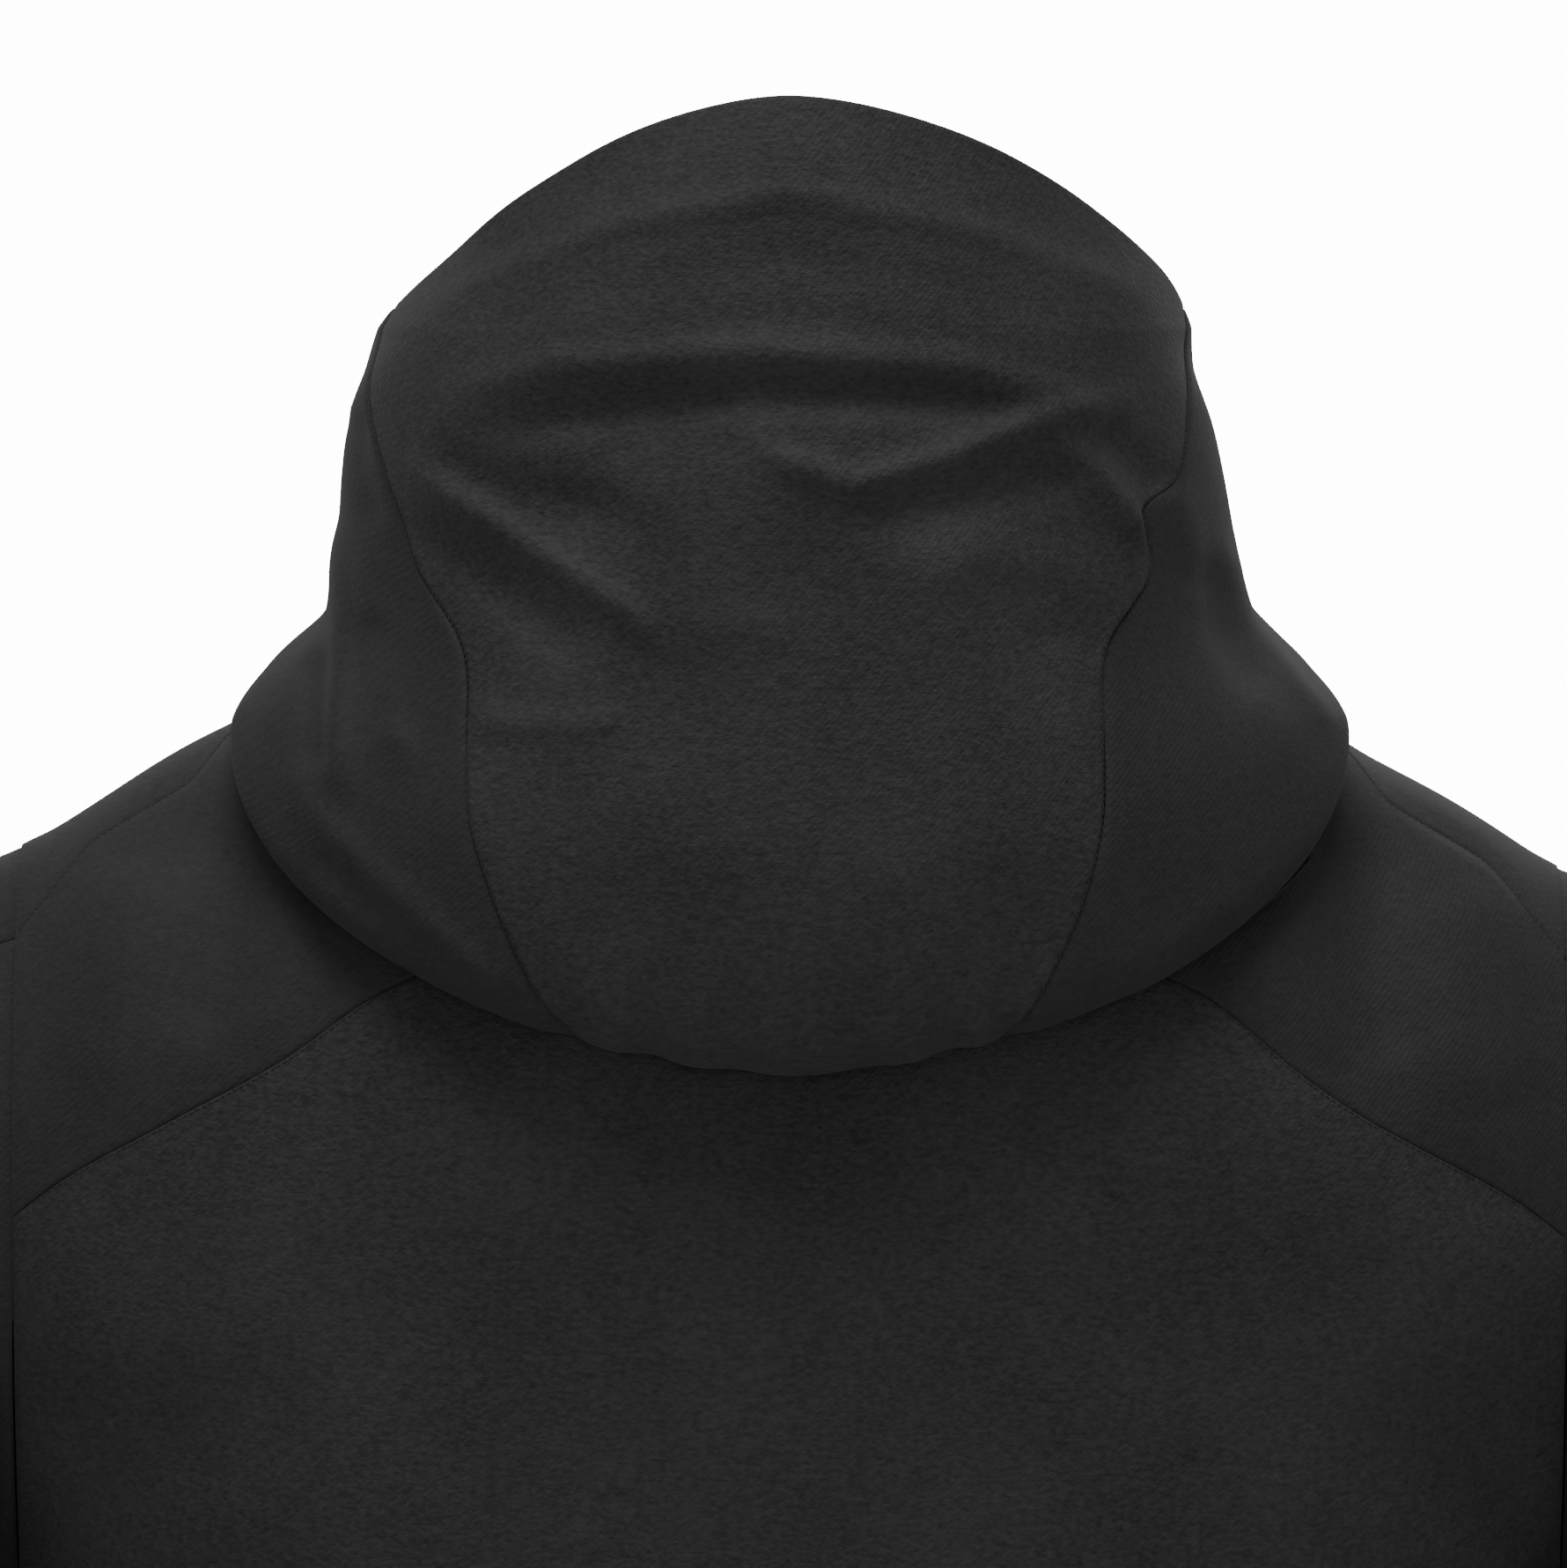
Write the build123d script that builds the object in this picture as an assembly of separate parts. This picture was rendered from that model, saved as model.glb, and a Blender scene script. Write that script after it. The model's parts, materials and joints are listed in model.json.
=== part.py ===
from build123d import *
import math
import os

os.makedirs("parts", exist_ok=True)

# Hardshell jacket, men's M, hood down, sleeves hanging.
# Millimetres. Origin: centre of the neck opening, level with the neck seam.
# +Z up, the front faces -Y, the wearer's left is +X.

# ---------------------------------------------------------------- sizes
FABRIC = 1.6            # modelled thickness of a shell panel
SEAM = 0.5              # half the gap left at a seam between two panels
HEM_Z = -745.0
ARM_X = 205.0           # plane of the armhole
ARM_LOW_Z = -262.0      # lowest point of the armhole
CAP_Z = -155.0          # above this height the shoulders round over
RIDGE_Z = 57.0          # the shoulder ridge line carried to the middle
RIDGE_SLOPE = 0.58
BOX_N = 2.4             # squareness of the horizontal sections
ARM_Y = 76.0            # half depth of the armhole
ZIP_HEM_Y = 138.0       # depth of the front zip at the hem
ZIP_LEAN = 0.0478       # the zip leans back by this much per mm of height
ZIP_HALF = 13.0         # front panels stop this far from the middle
NECK_X, NECK_BACK, NECK_FRONT = 86.0, 72.0, 104.0
CHEST_F = 113.0
DEG = math.pi / 180


def ease(t):
    t = min(1.0, max(0.0, t))
    return t * t * (3 - 2 * t)


def curve(xs, ys, x):
    """Smooth curve through named stations (monotone cubic)."""
    n = len(xs)
    x = min(max(x, xs[0]), xs[-1])
    i = 0
    while i < n - 2 and x > xs[i + 1]:
        i += 1

    def secant(k):
        return (ys[k + 1] - ys[k]) / (xs[k + 1] - xs[k])

    def slope(k):
        if k == 0:
            return secant(0)
        if k == n - 1:
            return secant(n - 2)
        a, b = secant(k - 1), secant(k)
        return 0.0 if a * b <= 0 else 2 * a * b / (a + b)

    h = xs[i + 1] - xs[i]
    t = (x - xs[i]) / h
    return ((2 * t**3 - 3 * t**2 + 1) * ys[i] + (t**3 - 2 * t**2 + t) * h * slope(i)
            + (-2 * t**3 + 3 * t**2) * ys[i + 1] + (t**3 - t**2) * h * slope(i + 1))


# ---------------------------------------------------------------- torso
def back_depth(z):
    return curve([-745, -600, -450, -330, -262, -155, 60], [119, 113, 113, 117, 120, 118, 118], z)


def zip_depth(z):
    return ZIP_HEM_Y - ZIP_LEAN * (z - HEM_Z)


def ridge(x):
    return RIDGE_Z - RIDGE_SLOPE * (math.hypot(x, 12) - 12)


def cap(x, z):
    """Share of the depth that is left where the shoulder rounds over."""
    t = max(0.0, (z - CAP_Z) / (ridge(x) - CAP_Z))
    return math.sqrt(max(0.0, 1 - min(t, 1.0) ** 2))


def front_depth(x, z):
    if z <= CAP_Z:
        return zip_depth(z)
    at_zip = zip_depth(z) / max(0.3, cap(0, z))
    return CHEST_F + (at_zip - CHEST_F) * math.exp(-(x / 55.0) ** 2) * 1.0


def arm_half(z):
    t = min(1.0, max(0.0, (z - ARM_LOW_Z) / (CAP_Z - ARM_LOW_Z)))
    return ARM_Y * (1 - (1 - t) ** 1.8) ** (1 / 1.8)


def arm_low(y):
    s = min(1.0, abs(y) / ARM_Y)
    return ARM_LOW_Z + (CAP_Z - ARM_LOW_Z) * (1 - (1 - s**1.8) ** (1 / 1.8))


def half_width(z):
    hem = curve([-745, -600, -450, -330, -262], [205, 201, 200, 203, 205], z)
    wide = (1 - (arm_half(z) / 118.0) ** BOX_N) ** (-1 / BOX_N)
    return hem * wide


def side_share(x, z):
    return max(0.0, 1 - abs(x / half_width(z)) ** BOX_N) ** (1 / BOX_N)


def back_y(x, z):
    return back_depth(z) * side_share(x, z) * cap(x, z)


def front_y(x, z):
    return -front_depth(x, z) * side_share(x, z) * cap(x, z)


def girth(phi, z):
    """Point on the torso at polar angle phi (0 left side, 90 back) and height z."""
    c, s = math.cos(phi * DEG), math.sin(phi * DEG)
    w = half_width(z)
    x = 0.0
    d = back_depth(z) if s >= 0 else front_depth(x, z)
    for _ in range(3 if s < 0 and z > CAP_Z else 1):
        r = (abs(c / w) ** BOX_N + abs(s / d) ** BOX_N) ** (-1 / BOX_N)
        x = r * c
        d = back_depth(z) if s >= 0 else front_depth(x, z)
    return Vector(r * c, r * s * cap(r * c, z), z)


def arch(x, a):
    """Point over the shoulder at x; a = 0 back, 90 ridge, 180 front."""
    z = CAP_Z + (ridge(x) - CAP_Z) * math.sin(a * DEG)
    d = back_depth(z) if a < 90 else front_depth(x, z)
    return Vector(x, d * side_share(x, z) * math.cos(a * DEG), z)


def arch_angle(x, z, front=False):
    a = math.asin(min(1.0, max(0.0, (z - CAP_Z) / (ridge(x) - CAP_Z)))) / DEG
    return 180 - a if front else a


neck_known = {}


def neck_xa(th):
    """The neck seam as (x, arch angle); th = 0 left, 90 back, -90 front."""
    if th in neck_known:
        return neck_known[th]
    x = NECK_X * math.cos(th * DEG)
    s = math.sin(th * DEG)
    y = s * (NECK_BACK if s > 0 else NECK_FRONT)
    lo, hi = CAP_Z, ridge(x)
    for _ in range(26):
        z = (lo + hi) / 2
        here = back_y(x, z) if y >= 0 else -front_y(x, z)
        if here > abs(y):
            lo = z
        else:
            hi = z
    neck_known[th] = (x, arch_angle(x, (lo + hi) / 2, y < 0))
    return neck_known[th]


def neck(th):
    return arch(*neck_xa(th))


# ---------------------------------------------------------------- panels
def solid_between(outer, inner, tol):
    """Closed solid from an outer and an inner skin with ruled edges."""
    a = Face.make_surface_from_array_of_points(outer, tol=tol)
    b = Face.make_surface_from_array_of_points(inner, tol=tol)
    rims = []
    for e in a.edges():
        m = e.position_at(0.5)
        other = min(b.edges(), key=lambda q: (q.position_at(0.5) - m).length)
        rims.append(Face.make_surface_from_curves(e, other))
    return Solid(Shell([a, b, *rims]))


def panel(fn, nu, nv, out, lift=0.0, thick=FABRIC, gap=SEAM, tol=0.05):
    """Fabric panel over fn(u, v); `out` tells which way is outside."""
    def length(p, q):
        return (p - q).length

    lu = sum(length(fn(i / 8, 0.5), fn((i + 1) / 8, 0.5)) for i in range(8))
    lv = sum(length(fn(0.5, i / 8), fn(0.5, (i + 1) / 8)) for i in range(8))
    gu, gv = gap / lu, gap / lv
    e = 1e-4
    us = [i / (nu - 1) for i in range(nu)]
    vs = [j / (nv - 1) for j in range(nv)]
    outer, inner = [], []
    for a in us:
        ro, ri = [], []
        for b in vs:
            u = gu + (1 - 2 * gu) * a
            v = gv + (1 - 2 * gv) * b
            p = fn(u, v)
            n = (fn(u + e, v) - fn(u - e, v)).cross(fn(u, v + e) - fn(u, v - e)).normalized()
            if n.dot(out(p)) < 0:
                n = n * -1
            ro.append(p + n * lift)
            ri.append(p + n * (lift - thick))
        outer.append(ro)
        inner.append(ri)
    return solid_between(outer, inner, tol)


def from_axis(p):
    return Vector(p.X, p.Y, 40 if p.Z > CAP_Z else 0)


def mix(a, b, t):
    return a + (b - a) * t


def coons(c0, c1, d0, d1, u, v):
    """Blend four boundary curves given in a two-value plane."""
    r = []
    for k in (0, 1):
        ruled_v = mix(c0(u)[k], c1(u)[k], v)
        ruled_u = mix(d0(v)[k], d1(v)[k], u)
        corner = mix(mix(c0(0)[k], c0(1)[k], u), mix(c1(0)[k], c1(1)[k], u), v)
        r.append(ruled_v + ruled_u - corner)
    return r


made = {}


def keep(name, solid):
    solid.label = name
    made[name] = solid


def mirrored(solid):
    return solid.mirror(Plane.YZ)


# Seams of the upper body
SIDE_PHI = 9.5          # seam under the arm, just behind the side
POCKET_PHI = -28.0      # front seam that carries the hand pocket
RAGLAN_X = 95.0
REAR_TH, FRONT_TH = 17.0, -80.0


def yoke_seam_z(x):
    return curve([0, 40, 80, 107, 133, 164, 191, 206],
                 [-64, -68, -79, -90, -108, -125, -140, -151.5], abs(x))


def ridge_seam_a(x):
    a0 = neck_xa(REAR_TH)
    return curve([a0[0], 120, 146, 160, 183, 200, 206], [a0[1], 86, 82, 69, 67, 55, 51], x)


def front_seam_z(x):
    x0, a0 = neck_xa(FRONT_TH)
    return curve([x0, 60, 120, 170, 206], [arch(x0, a0).Z, -78, -112, -134, -150], x)


def pocket_phi(z):
    top = math.atan2(-50.0, ARM_X) / DEG
    return POCKET_PHI + (top - POCKET_PHI) * ease((z + 385) / (-227 + 385))


def edge_phi(z):
    """Where the armhole cuts the section at height z (rear side)."""
    return math.atan2(arm_half(z) * back_depth(z) / 118.0, ARM_X) / DEG


def edge_phi_front(z):
    return -math.atan2(arm_half(z) * front_depth(150, z) / 118.0, ARM_X) / DEG


LOW_ROWS = [HEM_Z + (531.0 / 44) * i for i in range(45)]
HIGH_ROWS = 6


def back_panel(u, v):
    total = len(LOW_ROWS) - 1 + HIGH_ROWS
    k = v * total
    low = len(LOW_ROWS) - 1

    def at(z):
        p0 = max(SIDE_PHI, edge_phi(z))
        return girth(mix(p0, 180 - p0, u), z)

    if k <= low:
        i = min(int(max(k, 0)), low - 1)
        return at(mix(LOW_ROWS[i], LOW_ROWS[i + 1], k - i))
    t = (k - low) / HIGH_ROWS
    top = -120.0
    for _ in range(12):
        top = yoke_seam_z(at(top).X)
    return at(mix(LOW_ROWS[-1], top, t))


keep("back_panel", panel(back_panel, 33, len(LOW_ROWS) + HIGH_ROWS, from_axis, tol=0.3))

RAGLAN_A = arch_angle(RAGLAN_X, yoke_seam_z(RAGLAN_X))


def raglan(v):
    x1, a1 = neck_xa(REAR_TH)
    return mix(RAGLAN_X, x1, v), mix(RAGLAN_A, a1, v)


def back_neck(u, v):
    def low(t):
        x = RAGLAN_X * (1 - 2 * t)
        return x, arch_angle(x, yoke_seam_z(x))

    def top(t):
        return neck_xa(mix(REAR_TH, 180 - REAR_TH, t))

    def other(t):
        x, a = raglan(t)
        return -x, a

    return arch(*coons(low, top, raglan, other, u, v))


keep("back_neck_panel", panel(back_neck, 25, 11, from_axis))


def rear_shoulder(u, v):
    x1 = neck_xa(REAR_TH)[0]

    def low(t):
        x = mix(RAGLAN_X, ARM_X, t)
        return x, arch_angle(x, yoke_seam_z(x))

    def top(t):
        x = mix(x1, ARM_X, t)
        return x, ridge_seam_a(x)

    def outer(t):
        return ARM_X, mix(low(1)[1], top(1)[1], t)

    return arch(*coons(low, top, raglan, outer, u, v))


def shoulder_top(u, v):
    x1 = neck_xa(REAR_TH)[0]
    x2 = neck_xa(FRONT_TH)[0]

    def rear(t):
        x = mix(x1, ARM_X, t)
        return x, ridge_seam_a(x)

    def front(t):
        x = mix(x2, ARM_X, t)
        return x, arch_angle(x, front_seam_z(x), True)

    def inner(t):
        return neck_xa(mix(REAR_TH, FRONT_TH, t))

    def outer(t):
        return ARM_X, mix(rear(1)[1], front(1)[1], t)

    return arch(*coons(rear, front, inner, outer, u, v))


FRONT_ROWS = [HEM_Z + (545.0 / 45) * i for i in range(46)]


def front_panel(u, v):
    total = len(FRONT_ROWS) - 1 + 6
    k = v * total
    low = len(FRONT_ROWS) - 1

    def at(z):
        p1 = pocket_phi(z) if z < -227.4 else edge_phi_front(z)
        p0 = -90 + math.atan2(ZIP_HALF, zip_depth(z)) / DEG
        return girth(mix(p0, p1, u), z)

    if k <= low:
        i = min(int(max(k, 0)), low - 1)
        return at(mix(FRONT_ROWS[i], FRONT_ROWS[i + 1], k - i))
    top = -110.0
    for _ in range(8):
        top = mix(top, front_seam_z(at(top).X), 0.8)
    return at(mix(FRONT_ROWS[-1], top, (k - low) / 6))


SIDE_ROWS = [HEM_Z + 24.0 * i for i in range(19)]


def side_panel(u, v):
    total = len(SIDE_ROWS) - 1 + 6
    k = v * total
    low = len(SIDE_ROWS) - 1

    def angle(z):
        return mix(pocket_phi(z), SIDE_PHI, u)

    def at(z):
        return girth(angle(z), z)

    if k <= low:
        i = min(int(max(k, 0)), low - 1)
        return at(mix(SIDE_ROWS[i], SIDE_ROWS[i + 1], k - i))
    top = -250.0
    for _ in range(12):
        y = ARM_X * math.tan(angle(top) * DEG)
        d = back_depth(top) if y > 0 else front_depth(150, top)
        top = mix(top, arm_low(y * 118.0 / d), 0.5)
    return at(mix(SIDE_ROWS[-1], top, (k - low) / 6))


for side in ("left", "right"):
    turn = (lambda s: s) if side == "left" else mirrored
    keep("rear_shoulder_" + side, turn(panel(rear_shoulder, 17, 13, from_axis)))
    keep("shoulder_top_" + side, turn(panel(shoulder_top, 17, 25, from_axis)))
    keep("front_panel_" + side, turn(panel(front_panel, 17, len(FRONT_ROWS) + 6, from_axis, tol=0.3)))
    keep("side_panel_" + side, turn(panel(side_panel, 13, len(SIDE_ROWS) + 6, from_axis, tol=0.3)))


# ---------------------------------------------------------------- collar
COLLAR_END = 81.0       # the collar stops this many degrees from the side at the front


def collar_top(th):
    s = math.sin(th * DEG)
    front = ease(-s)
    y = s * (60 if s > 0 else zip_depth(48) + 0.6)
    z = curve([-1, -0.5, 0, 1], [48, 55, 63, 60], s)
    return Vector(mix(78, 86, front) * math.cos(th * DEG), y, z)


def collar_at(th, v):
    low = neck(th)
    mid = Vector(low.X * 0.985, low.Y * (0.985 if low.Y > 0 else 1), low.Z + 1.6)
    p = mix(mid, collar_top(th), v)
    bow = 3.0 * math.sin(math.pi * v) * ease((math.sin(th * DEG) + 1.0) * 2)
    return p + Vector(math.cos(th * DEG), math.sin(th * DEG), 0) * bow


def collar(u, v):
    return collar_at(mix(-COLLAR_END, 180 + COLLAR_END, u), v)


def flat_out(p):
    return Vector(p.X, p.Y, 0)


keep("collar", panel(collar, 49, 7, flat_out))
keep("collar_lining", panel(collar, 49, 7, flat_out, lift=-2.1, thick=1.0))


def over(fn, u0, u1, v0, v1):
    """A smaller patch of another panel's surface."""
    return lambda u, v: fn(mix(u0, u1, u), mix(v0, v1, v))


# Facing inside the hem, open at the zip
def hem_facing(u, v):
    z = mix(HEM_Z, HEM_Z + 32, v)
    end = math.atan2(ZIP_HALF + 1.5, zip_depth(z)) / DEG
    return girth(mix(-90 + end, 270 - end, u), z)


keep("hem_facing", panel(hem_facing, 61, 4, from_axis, lift=-2.1, thick=1.2))


# Bonded tape inside the yoke seam and inside the seams under the arms
def yoke_tape(u, v):
    x = mix(196, -196, u)
    z = yoke_seam_z(x) + mix(-9, 9, v) * 0.9
    z = max(z, CAP_Z + 1)
    return arch(x, arch_angle(x, z))


keep("seam_tape_yoke", panel(yoke_tape, 41, 4, from_axis, lift=-2.0, thick=0.6))


def side_tape(u, v):
    z = mix(-700, -285, v)
    return girth(SIDE_PHI + mix(-4.2, 4.2, u), z)


# ---------------------------------------------------------------- hood, folded down
HOOD_T = [0.0, 0.08, 0.2, 0.35, 0.5, 0.7, 0.88, 1.0]
HOOD_W = [146, 148, 142, 126, 123, 117, 110, 108]
HOOD_YB = [128, 139, 142, 134, 128, 121, 113, 102]
HOOD_ZB = [-114, -98, -60, -5, 40, 85, 119, 145]
HOOD_ZS = [-32, -24, -12, 8, 28, 52, 68, 80]
HOOD_Y0 = [55, 50, 42, 30, 22, 15, 11, 10]
HOOD_SEAM = [66, 58, 51, 43, 33, 22, 14, 9]
HOOD_END_X = [106, 107, 107, 106, 105, 104, 103, 102]
HOOD_END_Z = [2, 6, 12, 20, 28, 38, 46, 52]
# share of the width left at height z: the face edge rises to a rounded point
NARROW_Z = [83, 95, 106, 117, 129, 146]
NARROW_X = [1.0, 0.965, 0.925, 0.9, 0.885, 0.885]


def neck_roof(x, y):
    """Height of the shoulder at plan point (x, y)."""
    d = (118.0 if y > 0 else 113.0) * side_share(x, -150)
    if abs(y) >= d:
        return CAP_Z
    return CAP_Z + (ridge(x) - CAP_Z) * math.sqrt(1 - (y / d) ** 2)


def soft_max(a, b, k):
    d = a - b
    return (a + b + math.sqrt(d * d + k * k)) / 2


def hood(phi, t):
    def st(ys):
        return curve(HOOD_T, ys, t)

    w, yb, zb, zs, y0 = st(HOOD_W), st(HOOD_YB), st(HOOD_ZB), st(HOOD_ZS), st(HOOD_Y0)
    s, c = math.sin(phi * DEG), math.cos(phi * DEG)
    if s >= 0:
        x = w * c
        y = y0 + (yb - y0) * s ** 0.93
        z = zb + (zs - zb) * (1 - s) ** 0.87
    else:
        f = -s / math.sin(60 * DEG)
        x = math.copysign(mix(w, st(HOOD_END_X), f * f), c)
        y = y0 - (y0 + mix(32, 54, t)) * f
        z = mix(zs, st(HOOD_END_Z), f)
    x = x * curve(NARROW_Z, NARROW_X, z)
    z = soft_max(z, neck_roof(x, y) + 6, 3)
    if y > 40 and z < ridge(x):
        y = soft_max(y, back_y(x, z) + 5, 3)
    return Vector(x, y, z)


def hood_out(p):
    return Vector(p.X, p.Y - 20, (p.Z + 40) * 0.3)


HOOD_END = -58.0


def hood_center(u, v):
    t = mix(0, 0.875, v)
    a = curve(HOOD_T, HOOD_SEAM, t)
    return hood(mix(a, 180 - a, u), t)


def hood_brim(u, v):
    t = mix(0.875, 1.0, v)
    a = curve(HOOD_T, HOOD_SEAM, t)
    return hood(mix(a, 180 - a, u), t)


def hood_side(u, v):
    return hood(mix(HOOD_END, curve(HOOD_T, HOOD_SEAM, v), u), v)


keep("hood_center_panel", panel(hood_center, 33, 21, hood_out))
keep("hood_brim", panel(hood_brim, 41, 5, hood_out))
keep("hood_brim_stiffener", panel(over(hood_brim, 0.08, 0.92, 0.15, 0.85), 33, 4, hood_out,
                                  lift=-2.0, thick=1.4))


# Layer that joins the hood to the neck seam, lying on the back
def hood_gusset(u, v):
    x = mix(72, -72, u)
    low = -98 + 10 * (x / 72) ** 2
    th = mix(33, 147, u)
    xt, at = neck_xa(th)
    a = mix(arch_angle(x, low), at - 1.5, v)
    return arch(mix(x, xt, v), a)


keep("hood_neck_gusset", panel(hood_gusset, 21, 9, from_axis, lift=2.2, thick=1.2))

# ---------------------------------------------------------------- sleeves
# Outer and inner point of each section in the front view, half depth, shift in y
SLEEVE = [
    ((207.4, -62.0), (207.4, -262.0), 75, 1.0),
    ((238, -84), (210.5, -266), 77, 1),
    ((266, -118), (212.5, -272), 79, 2),
    ((289, -162), (214.5, -281), 80, 3),
    ((305, -214), (217, -294), 80, 4),
    ((316, -270), (222, -316), 78, 5),
    ((326, -333), (231, -356), 75, 6),
    ((341, -418), (245, -441), 69, 6),
    ((350, -480), (257, -498), 65, 0),
    ((358, -550), (268, -563), 60, -10),
    ((366, -625), (281, -634), 55, -22),
    ((371, -700), (291, -708), 50, -34),
]
ELBOW = 7.0
CUFF = 11.0
TOP_SHARE = [0.465, 0.475, 0.485, 0.495, 0.5, 0.5, 0.5, 0.5, 0.5, 0.5, 0.5, 0.5]


def sleeve(psi, s):
    """psi = 0 rear, 90 outer side, 180 front, -90 under the arm; s = station."""
    keys = list(range(12))

    def at(pick):
        return curve(keys, [pick(r) for r in SLEEVE], s)

    outer = Vector(at(lambda r: r[0][0]), 0, at(lambda r: r[0][1]))
    inner = Vector(at(lambda r: r[1][0]), 0, at(lambda r: r[1][1]))
    share = curve(keys, TOP_SHARE, s)
    c = outer + (inner - outer) * share
    half = outer - c if math.sin(psi * DEG) >= 0 else c - inner
    y = at(lambda r: r[3]) + at(lambda r: r[2]) * math.cos(psi * DEG)
    p = c + half * math.sin(psi * DEG)
    return Vector(p.X, y, p.Z)


def sleeve_panel(psi0, psi1, s0, s1, nu, nv, lift=0.0, thick=FABRIC):
    def fn(u, v):
        return sleeve(mix(psi0, psi1, u), mix(s0, s1, v))

    def out(p):
        s = min((mix(s0, s1, k / 20) for k in range(21)),
                key=lambda q: abs((sleeve(90, q) + sleeve(-90, q)).Z / 2 - p.Z))
        return p - (sleeve(90, s) + sleeve(-90, s)) * 0.5

    return panel(fn, nu, nv, out, lift=lift, thick=thick)


SLEEVE_SEAM = 51.0
GAP_S = 0.018
for side in ("left", "right"):
    turn = (lambda s: s) if side == "left" else mirrored
    keep("hood_side_" + side, turn(panel(hood_side, 21, 21, hood_out)))
    keep("seam_tape_side_" + side, turn(panel(side_tape, 4, 21, from_axis, lift=-2.0, thick=0.6)))
    up, low = (0.0, ELBOW - GAP_S), (ELBOW + GAP_S, CUFF)
    keep("sleeve_rear_" + side, turn(sleeve_panel(-90, SLEEVE_SEAM, *up, 15, 25)))
    keep("sleeve_front_" + side, turn(sleeve_panel(SLEEVE_SEAM, 270, *up, 21, 25)))
    keep("forearm_rear_" + side, turn(sleeve_panel(-90, SLEEVE_SEAM, *low, 15, 17)))
    keep("forearm_front_" + side, turn(sleeve_panel(SLEEVE_SEAM, 270, *low, 21, 17)))
    keep("cuff_facing_" + side, turn(sleeve_panel(-84, 264, 10.45, 10.97, 37, 5, lift=-2.1, thick=1.2)))
    # closing tab on the outside of the wrist and the patch it sticks to
    keep("cuff_loop_patch_" + side,
         turn(sleeve_panel(102, 196, 10.56, 10.9, 21, 4, lift=1.2, thick=1.0)))
    keep("cuff_tab_" + side, turn(sleeve_panel(62, 128, 10.5, 10.95, 21, 5, lift=3.4, thick=1.8)))

# ---------------------------------------------------------------- front zip
# Built along a straight line: local Z runs up the zip, local Y points inwards.
ZIP_LONG = (48 - HEM_Z) / math.cos(math.atan(ZIP_LEAN))
ZIP_TURN = -math.atan(ZIP_LEAN) / DEG


def on_zip(solid):
    return solid.rotate(Axis.X, ZIP_TURN).translate(Vector(0, -ZIP_HEM_Y, HEM_Z))


def block(x0, x1, y0, y1, z0, z1):
    return Box(x1 - x0, y1 - y0, z1 - z0).translate(
        Vector((x0 + x1) / 2, (y0 + y1) / 2, (z0 + z1) / 2)).solid()


TAPE_IN, TAPE_OUT = 1.3, 12.4
PITCH, TOOTH = 6.0, 2.6
SLIDER_LOW, SLIDER_TOP = ZIP_LONG - 24, ZIP_LONG - 8


def comb(sign, shift):
    """Row of teeth that cross the middle, on a rail under the tape edge."""
    pts = [(sign * 3.6, 6.0)]
    z = 8.0 + shift
    while z + TOOTH < SLIDER_LOW + 6:
        pts += [(sign * 1.4, z), (-sign * 0.9, z + 0.4),
                (-sign * 0.9, z + TOOTH - 0.4), (sign * 1.4, z + TOOTH)]
        z += PITCH
    pts.insert(1, (sign * 1.4, 6.0))
    pts += [(sign * 1.4, SLIDER_LOW + 6), (sign * 3.6, SLIDER_LOW + 6)]
    face = Face(Wire.make_polygon([Vector(x, 1.15, q) for x, q in pts], close=True))
    return Solid.extrude(face, Vector(0, 2.0, 0))


keep("main_zip_tape_left", on_zip(block(TAPE_IN, TAPE_OUT, 0, 1, 4, ZIP_LONG - 2)))
keep("main_zip_tape_right", on_zip(block(-TAPE_OUT, -TAPE_IN, 0, 1, 4, ZIP_LONG - 2)))
keep("main_zip_teeth_left", on_zip(comb(1, 0)))
keep("main_zip_teeth_right", on_zip(comb(-1, PITCH / 2)))
keep("main_zip_box", on_zip(block(-5, 5, 1.2, 4.2, -1, 5.4)))
keep("storm_flap", on_zip(block(-17, 19, 5.8, 6.8, 2, ZIP_LONG - 4).fuse(
    block(16.5, 19, 3.0, 5.9, 38, 690)).solid()))
keep("chin_guard", on_zip(block(-12, 12, -3.4, -2.2, ZIP_LONG - 6.5, ZIP_LONG + 3).fuse(
    block(-12, 12, -3.4, 4.6, ZIP_LONG + 1.4, ZIP_LONG + 3)).solid()))


def slider(width, length, post_low):
    """Two plates joined by the wedge between the tapes, with two lugs."""
    h = width / 2
    body = block(-h, h, -1.9, -0.35, 0, length).fuse(
        block(-h, h, 3.6, 5.0, 0, length), block(-0.9, 0.9, -0.5, 3.8, post_low, length - 0.5))
    for x in (-3.3, 1.9):
        body = body.fuse(block(x, x + 1.4, -5.0, -1.7, length - 6.2, length - 2.2))
    hole = Cylinder(1.0, 12).rotate(Axis.Y, 90).translate(Vector(0, -3.5, length - 4.2))
    return body.cut(hole).solid()


def pull(length, long, width=7.0):
    """Pin through the lugs with a flat tab hanging below it."""
    z = length - 4.2
    tab = block(-width / 2, width / 2, -4.5, -2.5, z - long, z - 5.0)
    neck_bar = block(-1.5, 1.5, -4.5, -2.5, z - 5.5, z)
    pin = Cylinder(0.8, 7.4).rotate(Axis.Y, 90).translate(Vector(0, -3.5, z))
    hole = Cylinder(1.6, 8).rotate(Axis.X, 90).translate(Vector(0, -3.5, z - long + 4))
    return tab.fuse(neck_bar, pin).cut(hole).solid()


LIFT = Vector(0, 0, SLIDER_LOW)
keep("main_slider", on_zip(slider(11, 16, 6.6).translate(LIFT)))
keep("main_pull", on_zip(pull(16, 34).translate(LIFT)))

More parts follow.
